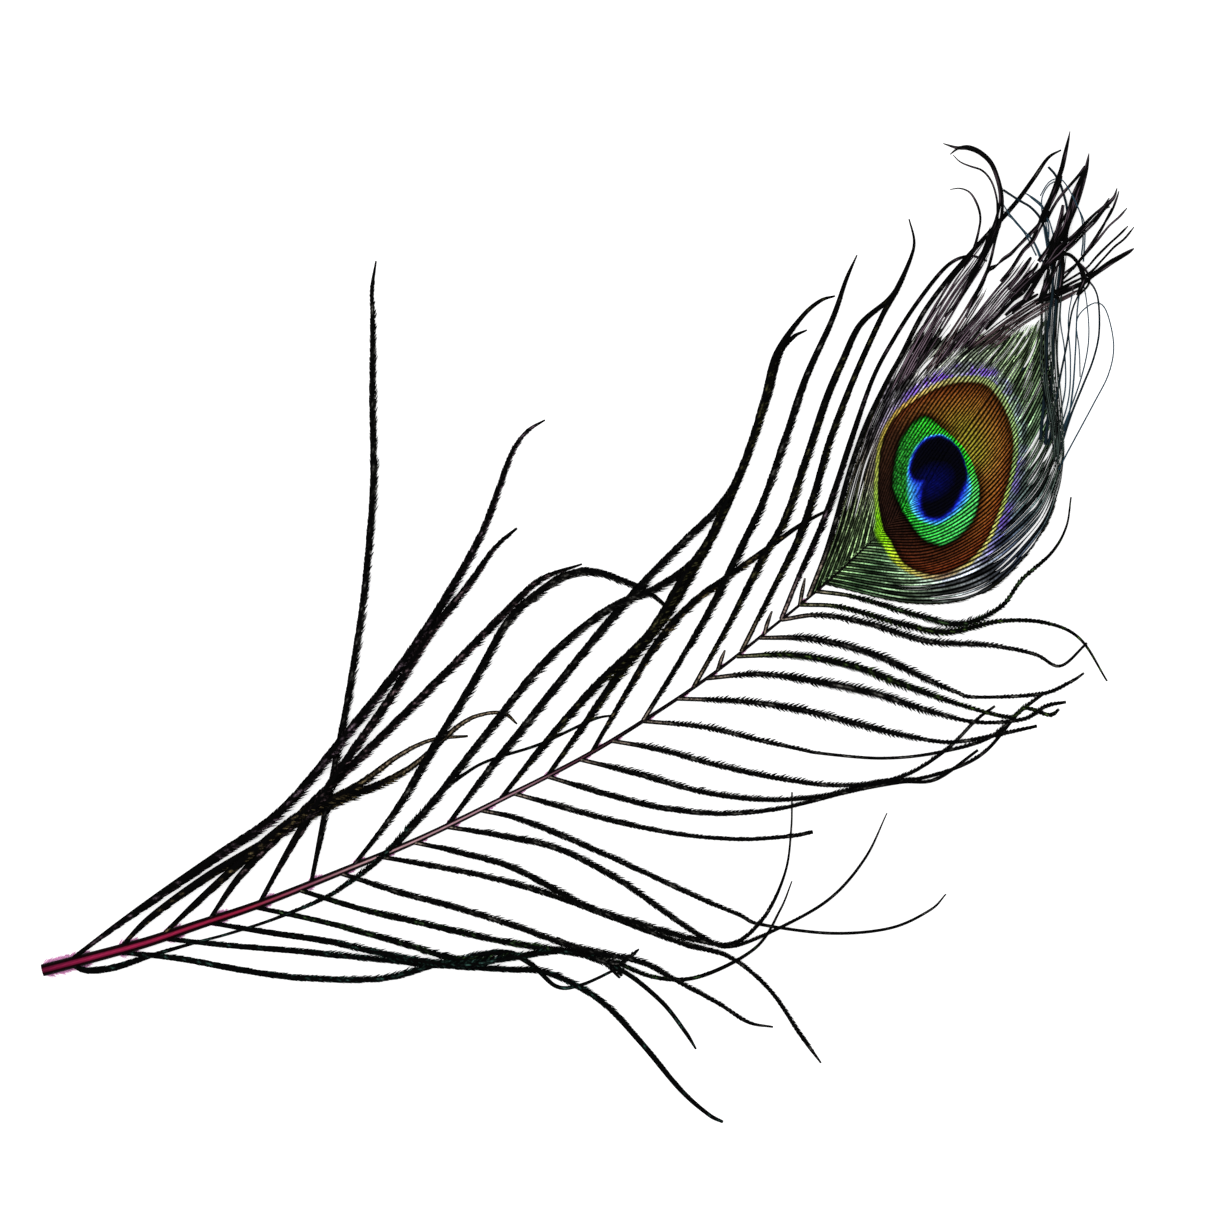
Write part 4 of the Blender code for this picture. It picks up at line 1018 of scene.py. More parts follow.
# What changes from barb to barb, by its number from the quill's cut end: how much slimmer than drawn it is,
# how many millimetres of its root are bare, the share of its length after which it is smooth, how many
# millimetres of its root are smooth, and how far its barbules stand apart
TRAITS = {
    "lower": {
        "slimming": ((4, 0.08), (12, 0.11), (16, 0.13)),
        "bare root": ((4, 0), (8, 3), (14, 6), (22, 9), (23, 0)),
        "smooth after": ((4, 0.75), (6, 1.2)),
        "smooth root": ((0, 60), (3, 35), (6, 8)),
        "openness": ((12, 0), (15, 1)),
    },
    "upper": {
        "slimming": ((3, 0.02), (6, 0.09), (8, 0.04), (11, -0.02)),
        "bare root": ((11, 0), (13, 8), (16, 14)),
        "smooth after": ((8, 1.2), (9, 0.82), (12, 0.68), (14, 0.55), (15, 0.35), (16, 0.0)),
        "smooth root": ((0, 60), (3, 35), (6, 8)),
        "openness": ((0, 0),),
    },
}
UPPER_SMOOTH_SIDE = 0.85
UPPER_SIDE_TURN = 0.3
UPPER_SIDE_TURNS = (0.5, 1.0)
LOWER_SMOOTH_SIDE = ((11, -0.45), (13, -0.65), (15, -0.5), (16, -0.05))
LOWER_SIDE_TURN = 0.15
BARE_BEFORE_TIP = (1, 2)  # the upper barbs that are bare near their tips too
BARE_TIP_SHARE = 0.9
BARE_TIP_BEGINS = (0.66, 0.76)
BARE_TIP_ENDS = (0.94, 1.0)
BARE_ROOT_EASE = (0.5, 1)
SMOOTH_ROOT_SHARE = 0.3
SMOOTH_ROOT_EASE = 0.6
SMOOTH_AFTER_EASE = (0.08, 0.06)
SMOOTH_AFTER_SHARE = 0.85
RAGGED_WIDTHS = (2.6 * PIXEL, 6 * PIXEL)

# A barb's course
BARB_STATION = 0.7 * MM
BARB_CLEARANCE = 0.14 * MM
ROOT_CATCH = 5 * MM  # a route that starts this near the quill is drawn to it
ROOT_PULL = 0.75
ROOT_HEIGHT_SHARE = 1.4
ROOT_SWELL = 0.6 * PIXEL
ROOT_SWELL_ENDS = (0.04, 0.2)
THIN_WIDTHS = (3.5 * PIXEL, 5 * PIXEL)
THIN_EXTRA = 0.5 * PIXEL

# A barb's web
RIPPLE = 0.9 * MM
WEB_SHRINK = 0.14
OPEN_SHRINK = 0.03
RIPPLE_SHRINK = 0.05
WEB_SHIFT = 0.9
STREAK_GAIN = 4
STREAK_FROM = 3.0
OPEN_STREAK = 0.4
STREAK_STRENGTH = 0.9
PALE_WAVE = 1.0 * MM
PALE_RANGE = (0.5, 0.5)

# A barb's fringe. A range is its least, and what may come on top
FRINGE_SPAN = (0.01, 0.995)
FEWEST_BARBULES = 4
TUFT_WAVE = 3  # in tufts
TUFT_STRETCH = (0.7, 0.6)
TUFT_SIZE = (0.35, 0.9)
TOOTH = ((0, 0.0), (0.15, 0.2), (0.6, 1.0), (1, 0.4))
TOOTH_PEAK = 0.6
TOOTH_RANGE = (0.1, 1.3)
UPPER_TOOTH = 0.37
LOWER_TOOTH = (0.5, 0.3)
SMOOTH_TOOTH = 0.05
BARE_LOSS = 0.5
SLANT_DEGREES = 28
ROUGH_SLANT = 8
OPEN_SLANT = 12
SLANT_SPREAD = 6
ROOT_DEPTH = 0.35
TIP_LOSS = 0.15
GATHER_AT = 0.62
BOW = 0.25
BARBULE_ROOT_RISE = 0.06 * MM
BARBULE_MIDDLE_RISE = 0.08 * MM
BARBULE_CLEARANCE = 0.06 * MM
BARBULE_DROOP = 0.2 * MM
SHORTEST_BARBULE = 0.06 * MM
BARE_THINNING = 0.85
BARBULE_WIDTHS = (0.9, 0.4)
FULL_BARB = 1.2 * MM
NARROW_BARB_SHARE = 0.3
SHEEN_RANGE = (0.15, 0.5)
SHEEN_RARITY = 3

# The solid teeth in the middles of the tufts
TOOTH_FROM = 0.12 * MM
BAREST_TOOTH = 0.5
TOOTH_BASE = 0.9
TOOTH_ROOT = 0.5
TOOTH_SINK = 0.02 * MM
TOOTH_BACK = 0.3 * MM
TOOTH_STRETCH = 1.15
TOOTH_MIDDLE = 0.1 * MM
TOOTH_BROADEST = 0.6
TOOTH_BREADTH = (0.2 * MM, 0.7)
TOOTH_HEIGHT = 0.12 * MM


def trait(name, group, number):
    """What a trait is for one barb."""
    return read_off(TRAITS[group][name], number)


def barb_heights(along, lift, root_height):
    """How high a barb's middle is: it leaves the quill, arches and comes down to the table at its tip."""
    return lift * np.sin(math.pi * along) + root_height * (1 - along) ** 2


def smooth_side(group, number, along):
    """Which side of a barb is the smooth one: 1 its left, -1 its right. The other has the ragged fringe."""
    if group == "upper":
        return UPPER_SMOOTH_SIDE - UPPER_SIDE_TURN * eased(along, *UPPER_SIDE_TURNS)
    return read_off(LOWER_SMOOTH_SIDE, number) - LOWER_SIDE_TURN * along


def bare_share(group, number, along, length):
    """How far a barb is bare of barbules, so that its pale middle shows between dark edges."""
    if group == "upper" and number in BARE_BEFORE_TIP:
        return BARE_TIP_SHARE * eased(along, *BARE_TIP_BEGINS) * (1 - eased(along, *BARE_TIP_ENDS))
    reach = trait("bare root", group, number)
    share, over = BARE_ROOT_EASE
    return (1 - eased(along * length, reach * share * MM, (reach + over) * MM)) * (reach > 0)


def ragged_share(group, number, along, width, length):
    """How ragged a barb is at each place: smooth where it is thin and near the quill's cut end, and for the
    upper barbs also towards the plume."""
    smooth_after = trait("smooth after", group, number)
    smooth_root = trait("smooth root", group, number) * MM
    grown = eased(along * length, SMOOTH_ROOT_EASE * smooth_root, smooth_root)
    grown = SMOOTH_ROOT_SHARE + (1 - SMOOTH_ROOT_SHARE) * grown
    before, after = SMOOTH_AFTER_EASE
    spent = eased(along, smooth_after - before, smooth_after + after)
    return grown * eased(width, *RAGGED_WIDTHS) * (1 - SMOOTH_AFTER_SHARE * spent)


def barb_course(group, number, barb, sizes):
    """A loose barb's middle line, and its width and how far along it is at each place."""
    lift_mm, _, pixels = barb
    pixels = np.asarray(pixels, float)
    quill = smooth_through(on_table(QUILL_PX))
    places = on_table(pixels[:, :2])
    nearest = quill[np.linalg.norm(quill - places[0], axis=1).argmin()]
    if np.linalg.norm(nearest - places[0]) < ROOT_CATCH:
        places[0] = places[0] * (1 - ROOT_PULL) + nearest * ROOT_PULL
    curve = smooth_through(np.column_stack((places, pixels[:, 2:] * PIXEL)))
    length = measured(curve)[-1]
    stations = stations_for(length, BARB_STATION)
    route = evenly(curve, stations)
    along = np.linspace(0, 1, stations)
    width = route[:, 2]
    thin = 1 - eased(width, *THIN_WIDTHS)
    width = width * (1 - trait("slimming", group, number) * (1 - thin)) + THIN_EXTRA * thin
    width = width + ROOT_SWELL * (1 - eased(along, *ROOT_SWELL_ENDS))
    root_height = ROOT_HEIGHT_SHARE * quill_half_width(pixels[0][0], sizes)
    heights = BARB_CLEARANCE + barb_heights(along, lift_mm * MM, root_height)
    return np.column_stack((route[:, :2], heights)), width, along, length


def add_web(webs, route, web, reached, bare, openness, tint, dice):
    """A barb's web, with light streaks here and there along its ridge, and pale where it is bare."""
    shape = strands(route[None], web[None], np.full((1, len(route)), BARB_HALF_HEIGHT), FLAT_SECTION)
    streak = wandering(dice, reached, RIPPLE) * STREAK_GAIN - STREAK_FROM + OPEN_STREAK * openness
    streak = np.clip(streak, 0, 1) * STREAK_STRENGTH
    ridge = np.tile(ON_RIDGE, len(route))
    pale = bare * ranged(PALE_RANGE, wandering(dice, reached, PALE_WAVE))
    pale = (np.repeat(pale, FLAT_SIDES) * ridge)[:, None]
    marks = spread_tint(len(ridge), tint, np.repeat(streak, FLAT_SIDES) * ridge)
    bare_marks = spread_tint(len(ridge), "bare", 1.0)
    webs.add(shape, tint=marks * (1 - pale) + bare_marks * pale)


def tufted(distances, sizes, dice):
    """Barbules draw together in tufts, like the teeth of a saw. Gives the tufts' lengths, the tuft that each
    barbule is in, how far along it is there, and how tall."""
    stretch = ranged(TUFT_STRETCH, wandering(dice, distances, TUFT_WAVE * sizes.tuft_length))
    tuft_length = sizes.tuft_length * stretch
    phase = np.cumsum(sizes.barbule_spacing / tuft_length) + dice.random()
    within = phase % 1
    tuft = phase.astype(int)
    size = ranged(TUFT_SIZE, dice.random(tuft[-1] + 2)[tuft])
    return tuft_length, tuft, within, read_off(TOOTH, within) * size


def add_fringe(fringe, places, edges, distances, openness, tall, side, tint, sizes, dice):
    """The barbules on one side of a barb, and a solid tooth in the middle of each tuft."""
    full, core, lean, nude, rough = edges
    left, way = normals_of(places)
    outward = left * side
    count = len(distances)
    tuft_length, tuft, within, tooth = tufted(distances, sizes, dice)
    roughness = np.clip((1 - side * lean) / 2, 0, 1) * rough
    spare = full * (tall * roughness * ranged(TOOTH_RANGE, tooth) + SMOOTH_TOOTH * rough * tooth)
    reach = core + spare * (1 - BARE_LOSS * nude)
    degrees = SLANT_DEGREES + ROUGH_SLANT * roughness + OPEN_SLANT * openness
    degrees = degrees + SLANT_SPREAD * dice.random(count)
    slant = np.radians(degrees)
    root_off = core * ROOT_DEPTH
    long = (reach - TIP_LOSS * spare - root_off) / np.sin(slant)
    gather = (GATHER_AT - within) * tuft_length
    roots = places + outward * root_off[:, None]
    middles = roots + heading(way, outward, slant + BOW) * (long * 0.5)[:, None]
    middles += way * (gather * 0.5)[:, None]
    tips = roots + heading(way, outward, slant) * long[:, None]
    tips += way * gather[:, None]
    roots[:, 2] += BARBULE_ROOT_RISE
    middles[:, 2] += BARBULE_MIDDLE_RISE
    drop = np.minimum(places[:, 2] - BARBULE_CLEARANCE, BARBULE_DROOP * dice.random(count))
    tips[:, 2] -= np.maximum(drop, 0)
    kept = (spare > SHORTEST_BARBULE) & (dice.random(count) > BARE_THINNING * nude)
    widths = sizes.barbule_width * ranged(BARBULE_WIDTHS, dice.random(count))
    widths = (widths * np.minimum(1, full / FULL_BARB + NARROW_BARB_SHARE))[kept]
    shape = spindles(roots[kept], middles[kept], tips[kept], widths, widths * BARBULE_HEIGHT_SHARE)
    sheen = dice.random(tuft[-1] + 2)[tuft][kept] ** SHEEN_RARITY * ranged(SHEEN_RANGE, roughness[kept])
    fringe.add_tinted(shape, tint, sheen)

    peak = np.flatnonzero((within[:-1] < TOOTH_PEAK) & (within[1:] >= TOOTH_PEAK))
    peak = peak[(spare[peak] > TOOTH_FROM) & (nude[peak] < BAREST_TOOTH)]
    if len(peak):
        out, ahead, half = outward[peak], way[peak], core[peak]
        base = places[peak] + out * (half * TOOTH_BASE)[:, None] - UP * TOOTH_SINK
        starts = base - ahead * TOOTH_BACK - out * (half * TOOTH_ROOT)[:, None]
        points = base + (tips[peak] - base) * TOOTH_STRETCH
        points[:, 2] = tips[peak, 2]
        broad = np.minimum(TOOTH_BROADEST * tuft_length[peak], ranged(TOOTH_BREADTH, spare[peak]))
        middles = base + ahead * TOOTH_MIDDLE
        teeth = spindles(starts, middles, points, broad, np.full(len(peak), TOOTH_HEIGHT))
        fringe.add_tinted(teeth, tint, 0.0)


def build_barb(webs, fringe, group, number, barb, sizes, dice):
    """One loose barb: the web of barbules that are too dense to tell apart, and the fringe outside it."""
    tint = barb[1]
    route, width, along, length = barb_course(group, number, barb, sizes)
    reached = along * length
    smooth = smooth_side(group, number, along)
    bare = bare_share(group, number, along, length)
    ragged = ragged_share(group, number, along, width, length)
    openness = trait("openness", group, number)
    shrink = WEB_SHRINK + OPEN_SHRINK * openness - RIPPLE_SHRINK * wandering(dice, reached, RIPPLE)
    web = width * (0.5 - ragged * shrink)
    left, _ = normals_of(route)
    route = route + left * (smooth * (width / 2 - web) * WEB_SHIFT)[:, None]
    add_web(webs, route, web, reached, bare, openness, tint, dice)

    start, stop = FRINGE_SPAN
    distances = np.arange(start * length, length * stop, sizes.barbule_spacing)
    if len(distances) < FEWEST_BARBULES:
        return
    share = distances / length
    places = sampled(route, along, share)
    edges = [np.interp(share, along, values) for values in (width, web, smooth, bare, ragged)]
    tall = UPPER_TOOTH if group == "upper" else ranged(LOWER_TOOTH, openness)
    for side in (1, -1):
        add_fringe(fringe, places, edges, distances, openness, tall, side, tint, sizes, dice)


def build_loose_barbs(group, barbs, sizes):
    """All barbs of one side of the quill: a piece of webs and a piece of barbules."""
    dice = np.random.default_rng(len(barbs))
    webs = Joined()
    fringe = Joined()
    for number, barb in enumerate(barbs):
        build_barb(webs, fringe, group, number, barb, sizes, dice)
    material = shared(black_barb_keratin)
    webs.piece(f"{group}_barbs", material, "barb")
    fringe.piece(f"{group}_barbules", material, "barb")


# ---- Down at the roots ----

DOWN_SEED = 3
DOWN_STEPS = 2 * CURVE_STEPS
DOWN_AT_CUT = (0, 5)  # the places along the quill where its cut end has wisps
DOWN_WISPS = 130
DOWN_FADE = ((60, 1.0), (300, 0.7), (760, 0.35))  # by pixels to the right in the photograph
DOWN_SPREAD = 4.6 * MM
DOWN_OFF = 0.85
DOWN_OUTWARD = (0.25, 0.5)
DOWN_FORWARD = (0.7, 0.3)
DOWN_LENGTH = (0.6, 1.9)
DOWN_LOSS = 0.7
DOWN_START_HEIGHT = 0.3
DOWN_TIP_RISE = 0.1 * MM
DOWN_BOW = 0.05 * MM
DOWN_WIDTH = 0.13 * MM


def build_root_down(sizes):
    """Wisps of dyed down beside the quill: at each barb's root, and round the quill's cut end."""
    dice = np.random.default_rng(DOWN_SEED)
    down = Joined()
    quill = smooth_through(on_table(QUILL_PX), DOWN_STEPS)
    flat = np.column_stack((quill, np.zeros(len(quill))))
    quill_left, quill_way = normals_of(flat)
    spots = []
    for side, barbs in ((-1, LOWER_BARBS[:-KNOT_BARBS]), (1, UPPER_BARBS)):
        for _, _, pixels in barbs:
            nearest = np.linalg.norm(quill - on_table(pixels[0][:2]), axis=1).argmin()
            spots.append((side, pixels[0][0], nearest))
    spots += [(side, CUT_END_PX[0], place) for side in (1, -1) for place in DOWN_AT_CUT]
    for side, right_px, nearest in spots:
        fade = read_off(DOWN_FADE, right_px)
        count = int(DOWN_WISPS * fade)
        spread = dice.random(count)
        half = quill_half_width(right_px, sizes)
        forward = quill_way[nearest]
        outward = quill_left[nearest] * side
        starts = flat[nearest] + forward * (spread * DOWN_SPREAD * fade)[:, None]
        starts = starts + outward * half * DOWN_OFF
        aim = outward * ranged(DOWN_OUTWARD, dice.random((count, 1)))
        aim = aim + forward * ranged(DOWN_FORWARD, dice.random((count, 1)))
        least, more = DOWN_LENGTH
        long = (least + more * dice.random(count) * (1 - DOWN_LOSS * spread)) * MM * fade
        tips = starts + aim * long[:, None] + UP * DOWN_TIP_RISE
        starts = starts + UP * DOWN_START_HEIGHT * half
        middles = (starts + tips) / 2 + UP * DOWN_BOW
        widths = np.full(count, DOWN_WIDTH)
        down.add_tinted(spindles(starts, middles, tips, widths, widths), "dye", 1.0)
    down.piece("root_down", shared(bare_plume_keratin), "barb")


# ---- The eye's vane ----

OUTLINE_STEPS = 8
OUTLINE_LAP = 2  # points by which a closed outline runs on at each end, so that it joins smoothly
CORE_STEP = 5 * MM  # how far from the core's edge inwards the ring falls by 1
RIM_STEP = 5 * MM  # how far outside the bronze it rises by 1
LEAST_GAP = 1e-9

# How far the rim's colours spread round the eye, by turn
RIM_SPREAD = (
    (0.0, 0.85), (0.085, 0.95), (0.1, 1.7), (0.14, 2.1), (0.18, 1.2), (0.25, 0.9), (0.5, 0.9), (0.6, 1.1),
    (0.68, 1.35), (0.74, 1.3), (0.8, 0.9), (0.9, 0.8), (1.0, 0.85),
)

# The slits
SLIT_CATCH = 1.2 * MM  # no barb is further than this from a slit that it opens
DOUBLE_SLIT_PX = 3  # a slit that is wider than this is opened by two barbs
SLIT_MOST = 0.95
SLIT_FULLNESS = 0.7

# The vane's barbs
VANE_SEED = 11
VANE_STATIONS = 200
GUIDE_STEPS = 10  # curves from one guide barb to the next
ROOT_TUCK = 1.2  # how far the roots reach in under the quill, in steps between places
BROADEST_EYE_BARB = 1.1 * MM
VANE_RIM = (1.2 * MM, 4 * MM)
SLIVER_WAVE = 7 * MM
SLIVER_EASE = (0.5, 0.8)
SLIVER_LOSS = 0.5
SLIVER_START = (0.12, 0.32)
OVERLAP = 1.14
VANE_STOPS = (0.95, 0.07)
VANE_TIP = 0.03
VANE_TIP_LOSS = 0.9
THINNEST_HALF = 0.05 * MM
LAYER_STEP = 0.05 * MM  # every other barb lies this much higher
RING_WOBBLE = 0.16 * MM
SECTION_LEAN = 0.8

# The vane's shades: inside the rings each barb has its own, and outside them it changes along the barb
EDGE_BARBS = 3
EDGE_SHADE = 0.6
FINE_WAVES = {"left": 0.9 * MM, "right": 2.6 * MM}
LONG_WAVE = 5 * MM
OWN_SHADE = (0.85, 0.3)
EVEN_SHADE = (0.95, 0.4)
ODD_SHADE = (0.08, 0.3)
STREAK_FLOOR = 0.03
FINE_STREAK = 1.7
PAST_RINGS = (1.6 * MM, 2.4 * MM)

# The strip under the line where the two sides' roots meet
STRIP_STATIONS = 40
STRIP_HEIGHT = 0.2 * MM
STRIP_HALF_WIDTH = 2 * PIXEL
STRIP_HALF_HEIGHT = 0.05 * MM
STRIP_ACROSS = 0.3
STRIP_SHADE = 0.6


def outline_gap(points, outline_px):
    """How far each point is from a closed outline, in metres: below 0 inside it."""
    outline = on_table(outline_px)
    looped = np.concatenate((outline[-OUTLINE_LAP:], outline, outline[: OUTLINE_LAP + 1]))
    lap = OUTLINE_LAP * OUTLINE_STEPS
    curve = smooth_through(looped, OUTLINE_STEPS)[lap:-lap]
    start = curve[:-1]
    edge = curve[1:] - start
    gap = np.full(len(points), np.inf)
    crossings = np.zeros(len(points), int)
    for (sx, sy), (ex, ey) in zip(start, edge):
        rx = points[:, 0] - sx
        ry = points[:, 1] - sy
        share = np.clip((rx * ex + ry * ey) / (ex * ex + ey * ey), 0, 1)
        gap = np.minimum(gap, np.hypot(rx - share * ex, ry - share * ey))
        straddles = (ry < 0) != (ry < ey)
        with np.errstate(divide="ignore", invalid="ignore"):
            crossings += straddles & (rx < ry * ex / ey)
    return np.where(crossings % 2 == 1, -gap, gap)


def ring_of(points):
    """Which ring each point lies in, and how far across it: 0 to 1 the core, 1 to 2 blue, 2 to 3 green,
    3 to 4 bronze, and from 4 about a fifth for each millimetre outside."""
    core, blue, green, bronze = (
        outline_gap(points, outline) for outline in (CORE_PX, BLUE_PX, GREEN_PX, BRONZE_PX)
    )
    off = points - on_table(EYE_MIDDLE_PX)
    turn = ((np.arctan2(off[:, 1], off[:, 0]) + SLANT) / math.tau + 0.5) % 1
    ring = BRONZE_EDGE + np.maximum(bronze, 0) / RIM_STEP / read_off(RIM_SPREAD, turn)
    for number, (inner, outer) in enumerate(((core, blue), (blue, green), (green, bronze)), 1):
        within = (outer <= 0) & (inner > 0)
        ring = np.where(within, number + inner / np.maximum(inner - outer, LEAST_GAP), ring)
    return np.where(core <= 0, CORE_EDGE + core / CORE_STEP, ring)


def opened_by_slits(routes, room):
    """How far each barb is drawn aside at each place to open a slit: to its left, or below 0 to its right."""
    aside = np.zeros(routes.shape[:2])
    for width_px, slit in SLITS_PX:
        spots = on_table(slit)
        away = np.linalg.norm(routes[:, :, None] - spots, axis=3)
        nearest = away.min(1).mean(1)
        if nearest.min() > SLIT_CATCH:
            continue
        count = 1 + (width_px > DOUBLE_SLIT_PX)
        for direction, barb in zip((1, -1), sorted(nearest.argsort()[:count])):
            first, last = sorted(away[barb].argmin(0)[[0, -1]])
            share = np.linspace(0, 1, last - first + 1)
            wide = np.minimum(SLIT_MOST, width_px / count * PIXEL / room[barb, first : last + 1])
            here = wide * np.sin(math.pi * share) ** SLIT_FULLNESS
            if here.max() > np.abs(aside[barb]).max():
                aside[barb] = 0
                aside[barb, first : last + 1] = here * direction
    return aside


def flat_sides(routes):
    """The level directions to the left of level routes, and the ways they run."""
    return normals_of(np.concatenate((routes, np.zeros((*routes.shape[:2], 1))), 2))


def vane_routes(guides, number):
    """Routes that share out the room between the first guide barb and the last evenly."""
    controls = smooth_through(on_table(guides), CURVE_STEPS)
    curves = smooth_through(controls.transpose(1, 0, 2), GUIDE_STEPS).transpose(1, 0, 2)
    curves = np.stack([evenly(curve, VANE_STATIONS) for curve in curves])
    left, _ = flat_sides(curves)
    apart = np.abs(((curves[1:] - curves[:-1]) * left[1:, :, :2]).sum(2)).mean(1)
    reached = np.concatenate(((0.0,), np.cumsum(apart)))
    spots = np.interp(np.linspace(0, reached[-1], number), reached, np.arange(len(curves)))
    under = np.minimum(spots.astype(int), len(curves) - 2)
    share = (spots - under)[:, None, None]
    routes = curves[under] * (1 - share) + curves[under + 1] * share
    routes[:, 0] += (routes[:, 0] - routes[:, 2]) * ROOT_TUCK
    return routes


def section_rings(points, way, across, dice, number):
    """The ring at each corner of each barb's section, wobbling a little from barb to barb."""
    wobble = np.repeat((dice.random(number) - 0.5) * RING_WOBBLE, VANE_STATIONS)
    shifted = points + way.reshape(-1, 3)[:, :2] * wobble[:, None]
    right_ring, ring, left_ring = (
        ring_of(shifted + across * lean) for lean in (-SECTION_LEAN, 0, SECTION_LEAN)
    )
    lean = FLAT_SECTION[:, 0]
    return (
        ring[:, None] * (1 - np.abs(lean))
        + right_ring[:, None] * np.maximum(lean, 0)
        + left_ring[:, None] * np.maximum(-lean, 0)
    )


def vane_shades(side, number, distances, bronze, dice):
    """How light each barb is at each place."""
    edge = np.arange(number)[:, None]
    at_edge = edge < EDGE_BARBS if side == "left" else edge > number - 1 - EDGE_BARBS
    fine_streaks, long_streaks = (
        np.stack([wandering(dice, reached, wave) for reached in distances])
        for wave in (FINE_WAVES[side], LONG_WAVE)
    )
    own, even, odd = (
        ranged(shades, dice.random((number, 1))) for shades in (OWN_SHADE, EVEN_SHADE, ODD_SHADE)
    )
    streaked = STREAK_FLOOR + FINE_STREAK * fine_streaks**3 + long_streaks**2
    streaked = streaked * np.where(edge % 2 == 0, even, odd)
    streaked = np.where(at_edge, streaked * EDGE_SHADE, streaked)
    past = eased(bronze, *PAST_RINGS)
    return own * (1 - past) + streaked * past


def add_strip(joined):
    """A strip under the roots of both sides closes the line where they meet."""
    route = evenly(smooth_through(on_table(MEETING_PX)), STRIP_STATIONS)
    under = np.column_stack((route, np.full(STRIP_STATIONS, STRIP_HEIGHT)))
    halves = (np.full((1, STRIP_STATIONS), half) for half in (STRIP_HALF_WIDTH, STRIP_HALF_HEIGHT))
    plain = np.ones(STRIP_STATIONS * FLAT_SIDES)
    joined.add(
        strands(under[None], *halves, FLAT_SECTION),
        ring=np.repeat(ring_of(route), FLAT_SIDES),
        across=plain * STRIP_ACROSS,
        along=plain * 0,
        shade=plain * STRIP_SHADE,
    )


def build_vane(side, guides, number, dice):
    """One side of the eye: closely set barbs, coloured ring by ring. Gives their middles and half widths."""
    routes = vane_routes(guides, number)
    along = np.linspace(0, 1, VANE_STATIONS)
    left, way = flat_sides(routes)
    apart = np.abs(((routes[1:] - routes[:-1]) * (left[1:, :, :2])).sum(2))
    room = np.concatenate((apart[:1], (apart[1:] + apart[:-1]) / 2, apart[-1:]))
    points = routes.reshape(-1, 2)
    bronze = outline_gap(points, BRONZE_PX).reshape(number, VANE_STATIONS)
    outer = eased(bronze, *VANE_RIM)
    distances = [measured(route) for route in routes]
    outward = 1 if side == "left" else -1
    slivers = np.stack([wandering(dice, reached, SLIVER_WAVE) for reached in distances])
    cover = OVERLAP - outer * eased(along, *SLIVER_START) * SLIVER_LOSS * eased(slivers, *SLIVER_EASE)
    aside = opened_by_slits(routes, room)
    half = np.minimum(room, BROADEST_EYE_BARB) / 2 * cover * (1 - np.abs(aside))
    routes = routes + left[..., :2] * (room / 2 * aside * outward)[..., None]
    stop = ranged(VANE_STOPS, dice.random((number, 1)))
    half *= 1 - VANE_TIP_LOSS * eased(along, stop - VANE_TIP, stop)
    half = np.maximum(half, THINNEST_HALF)
    height = VANE_HEIGHT_AT_QUILL + (VANE_HEIGHT_AT_RIM - VANE_HEIGHT_AT_QUILL) * along
    height = height + VANE_ARCH * np.sin(math.pi * along) + (np.arange(number)[:, None] % 2) * LAYER_STEP
    centres = np.concatenate((routes, height[..., None]), 2)
    across = (left[..., :2] * half[..., None]).reshape(-1, 2)
    ring = section_rings(points, way, across, dice, number)
    shade = vane_shades(side, number, distances, bronze, dice)
    joined = Joined()
    if side == "left":
        add_strip(joined)
    joined.add(
        strands(centres, half, np.full(half.shape, BARB_HALF_HEIGHT), FLAT_SECTION),
        ring=ring.ravel(),
        across=np.tile(np.abs(FLAT_SECTION[:, 0]), number * VANE_STATIONS),
        along=np.repeat((np.stack(distances) / MM).ravel(), FLAT_SIDES),
        shade=np.repeat(shade.ravel(), FLAT_SIDES),
    )
    joined.piece(f"eye_barbs_{side}", shared(iridescent_eye_keratin), "eye")
    return centres, half


# The fringe on the vane's two edges
VANE_FRINGE_START = 0.5 * MM
VANE_FRINGE_END = 0.85
VANE_FRINGE_DEGREES = (14, 12)
VANE_FRINGE_EXTRA = 0.2 * MM
VANE_FRINGE_LENGTH = (0.7, 0.6)
VANE_FRINGE_RISE = 0.05 * MM
VANE_FRINGE_MIDDLE = 0.45
VANE_FRINGE_BOW = 0.04 * MM
VANE_FRINGE_WIDTH = 0.16 * MM
VANE_FRINGE_SHEEN = 0.4


def build_vane_fringe(left_barbs, right_barbs, sizes, dice):
    """Barbules on the outer side of the vane's two edges."""
    fringe = Joined()
    for (centres, half), barb, side in ((left_barbs, 0, 1), (right_barbs, -1, -1)):
        route = centres[barb]
        distances = measured(route)
        spots = np.arange(VANE_FRINGE_START, distances[-1] * VANE_FRINGE_END, sizes.barbule_spacing)
        places = sampled(route, distances, spots)
        room = np.interp(spots, distances, half[barb])
        left, way = normals_of(places)
        count = len(spots)
        slant = np.radians(ranged(VANE_FRINGE_DEGREES, dice.random(count)))
        long = (room + VANE_FRINGE_EXTRA) * ranged(VANE_FRINGE_LENGTH, dice.random(count)) / np.sin(slant)
        way_out = heading(way, left * side, slant)
        roots = places + UP * VANE_FRINGE_RISE
        tips = roots + way_out * long[:, None]
        middles = roots + way_out * (long * VANE_FRINGE_MIDDLE)[:, None] + UP * VANE_FRINGE_BOW
        widths = np.full(count, VANE_FRINGE_WIDTH)
        shape = spindles(roots, middles, tips, widths, widths * BARBULE_HEIGHT_SHARE)
        fringe.add_tinted(shape, "olive", dice.random(count) ** 2 * VANE_FRINGE_SHEEN)
    fringe.piece("eye_fringe", shared(black_barb_keratin), "barb")


# ---- Plume and hairs ----

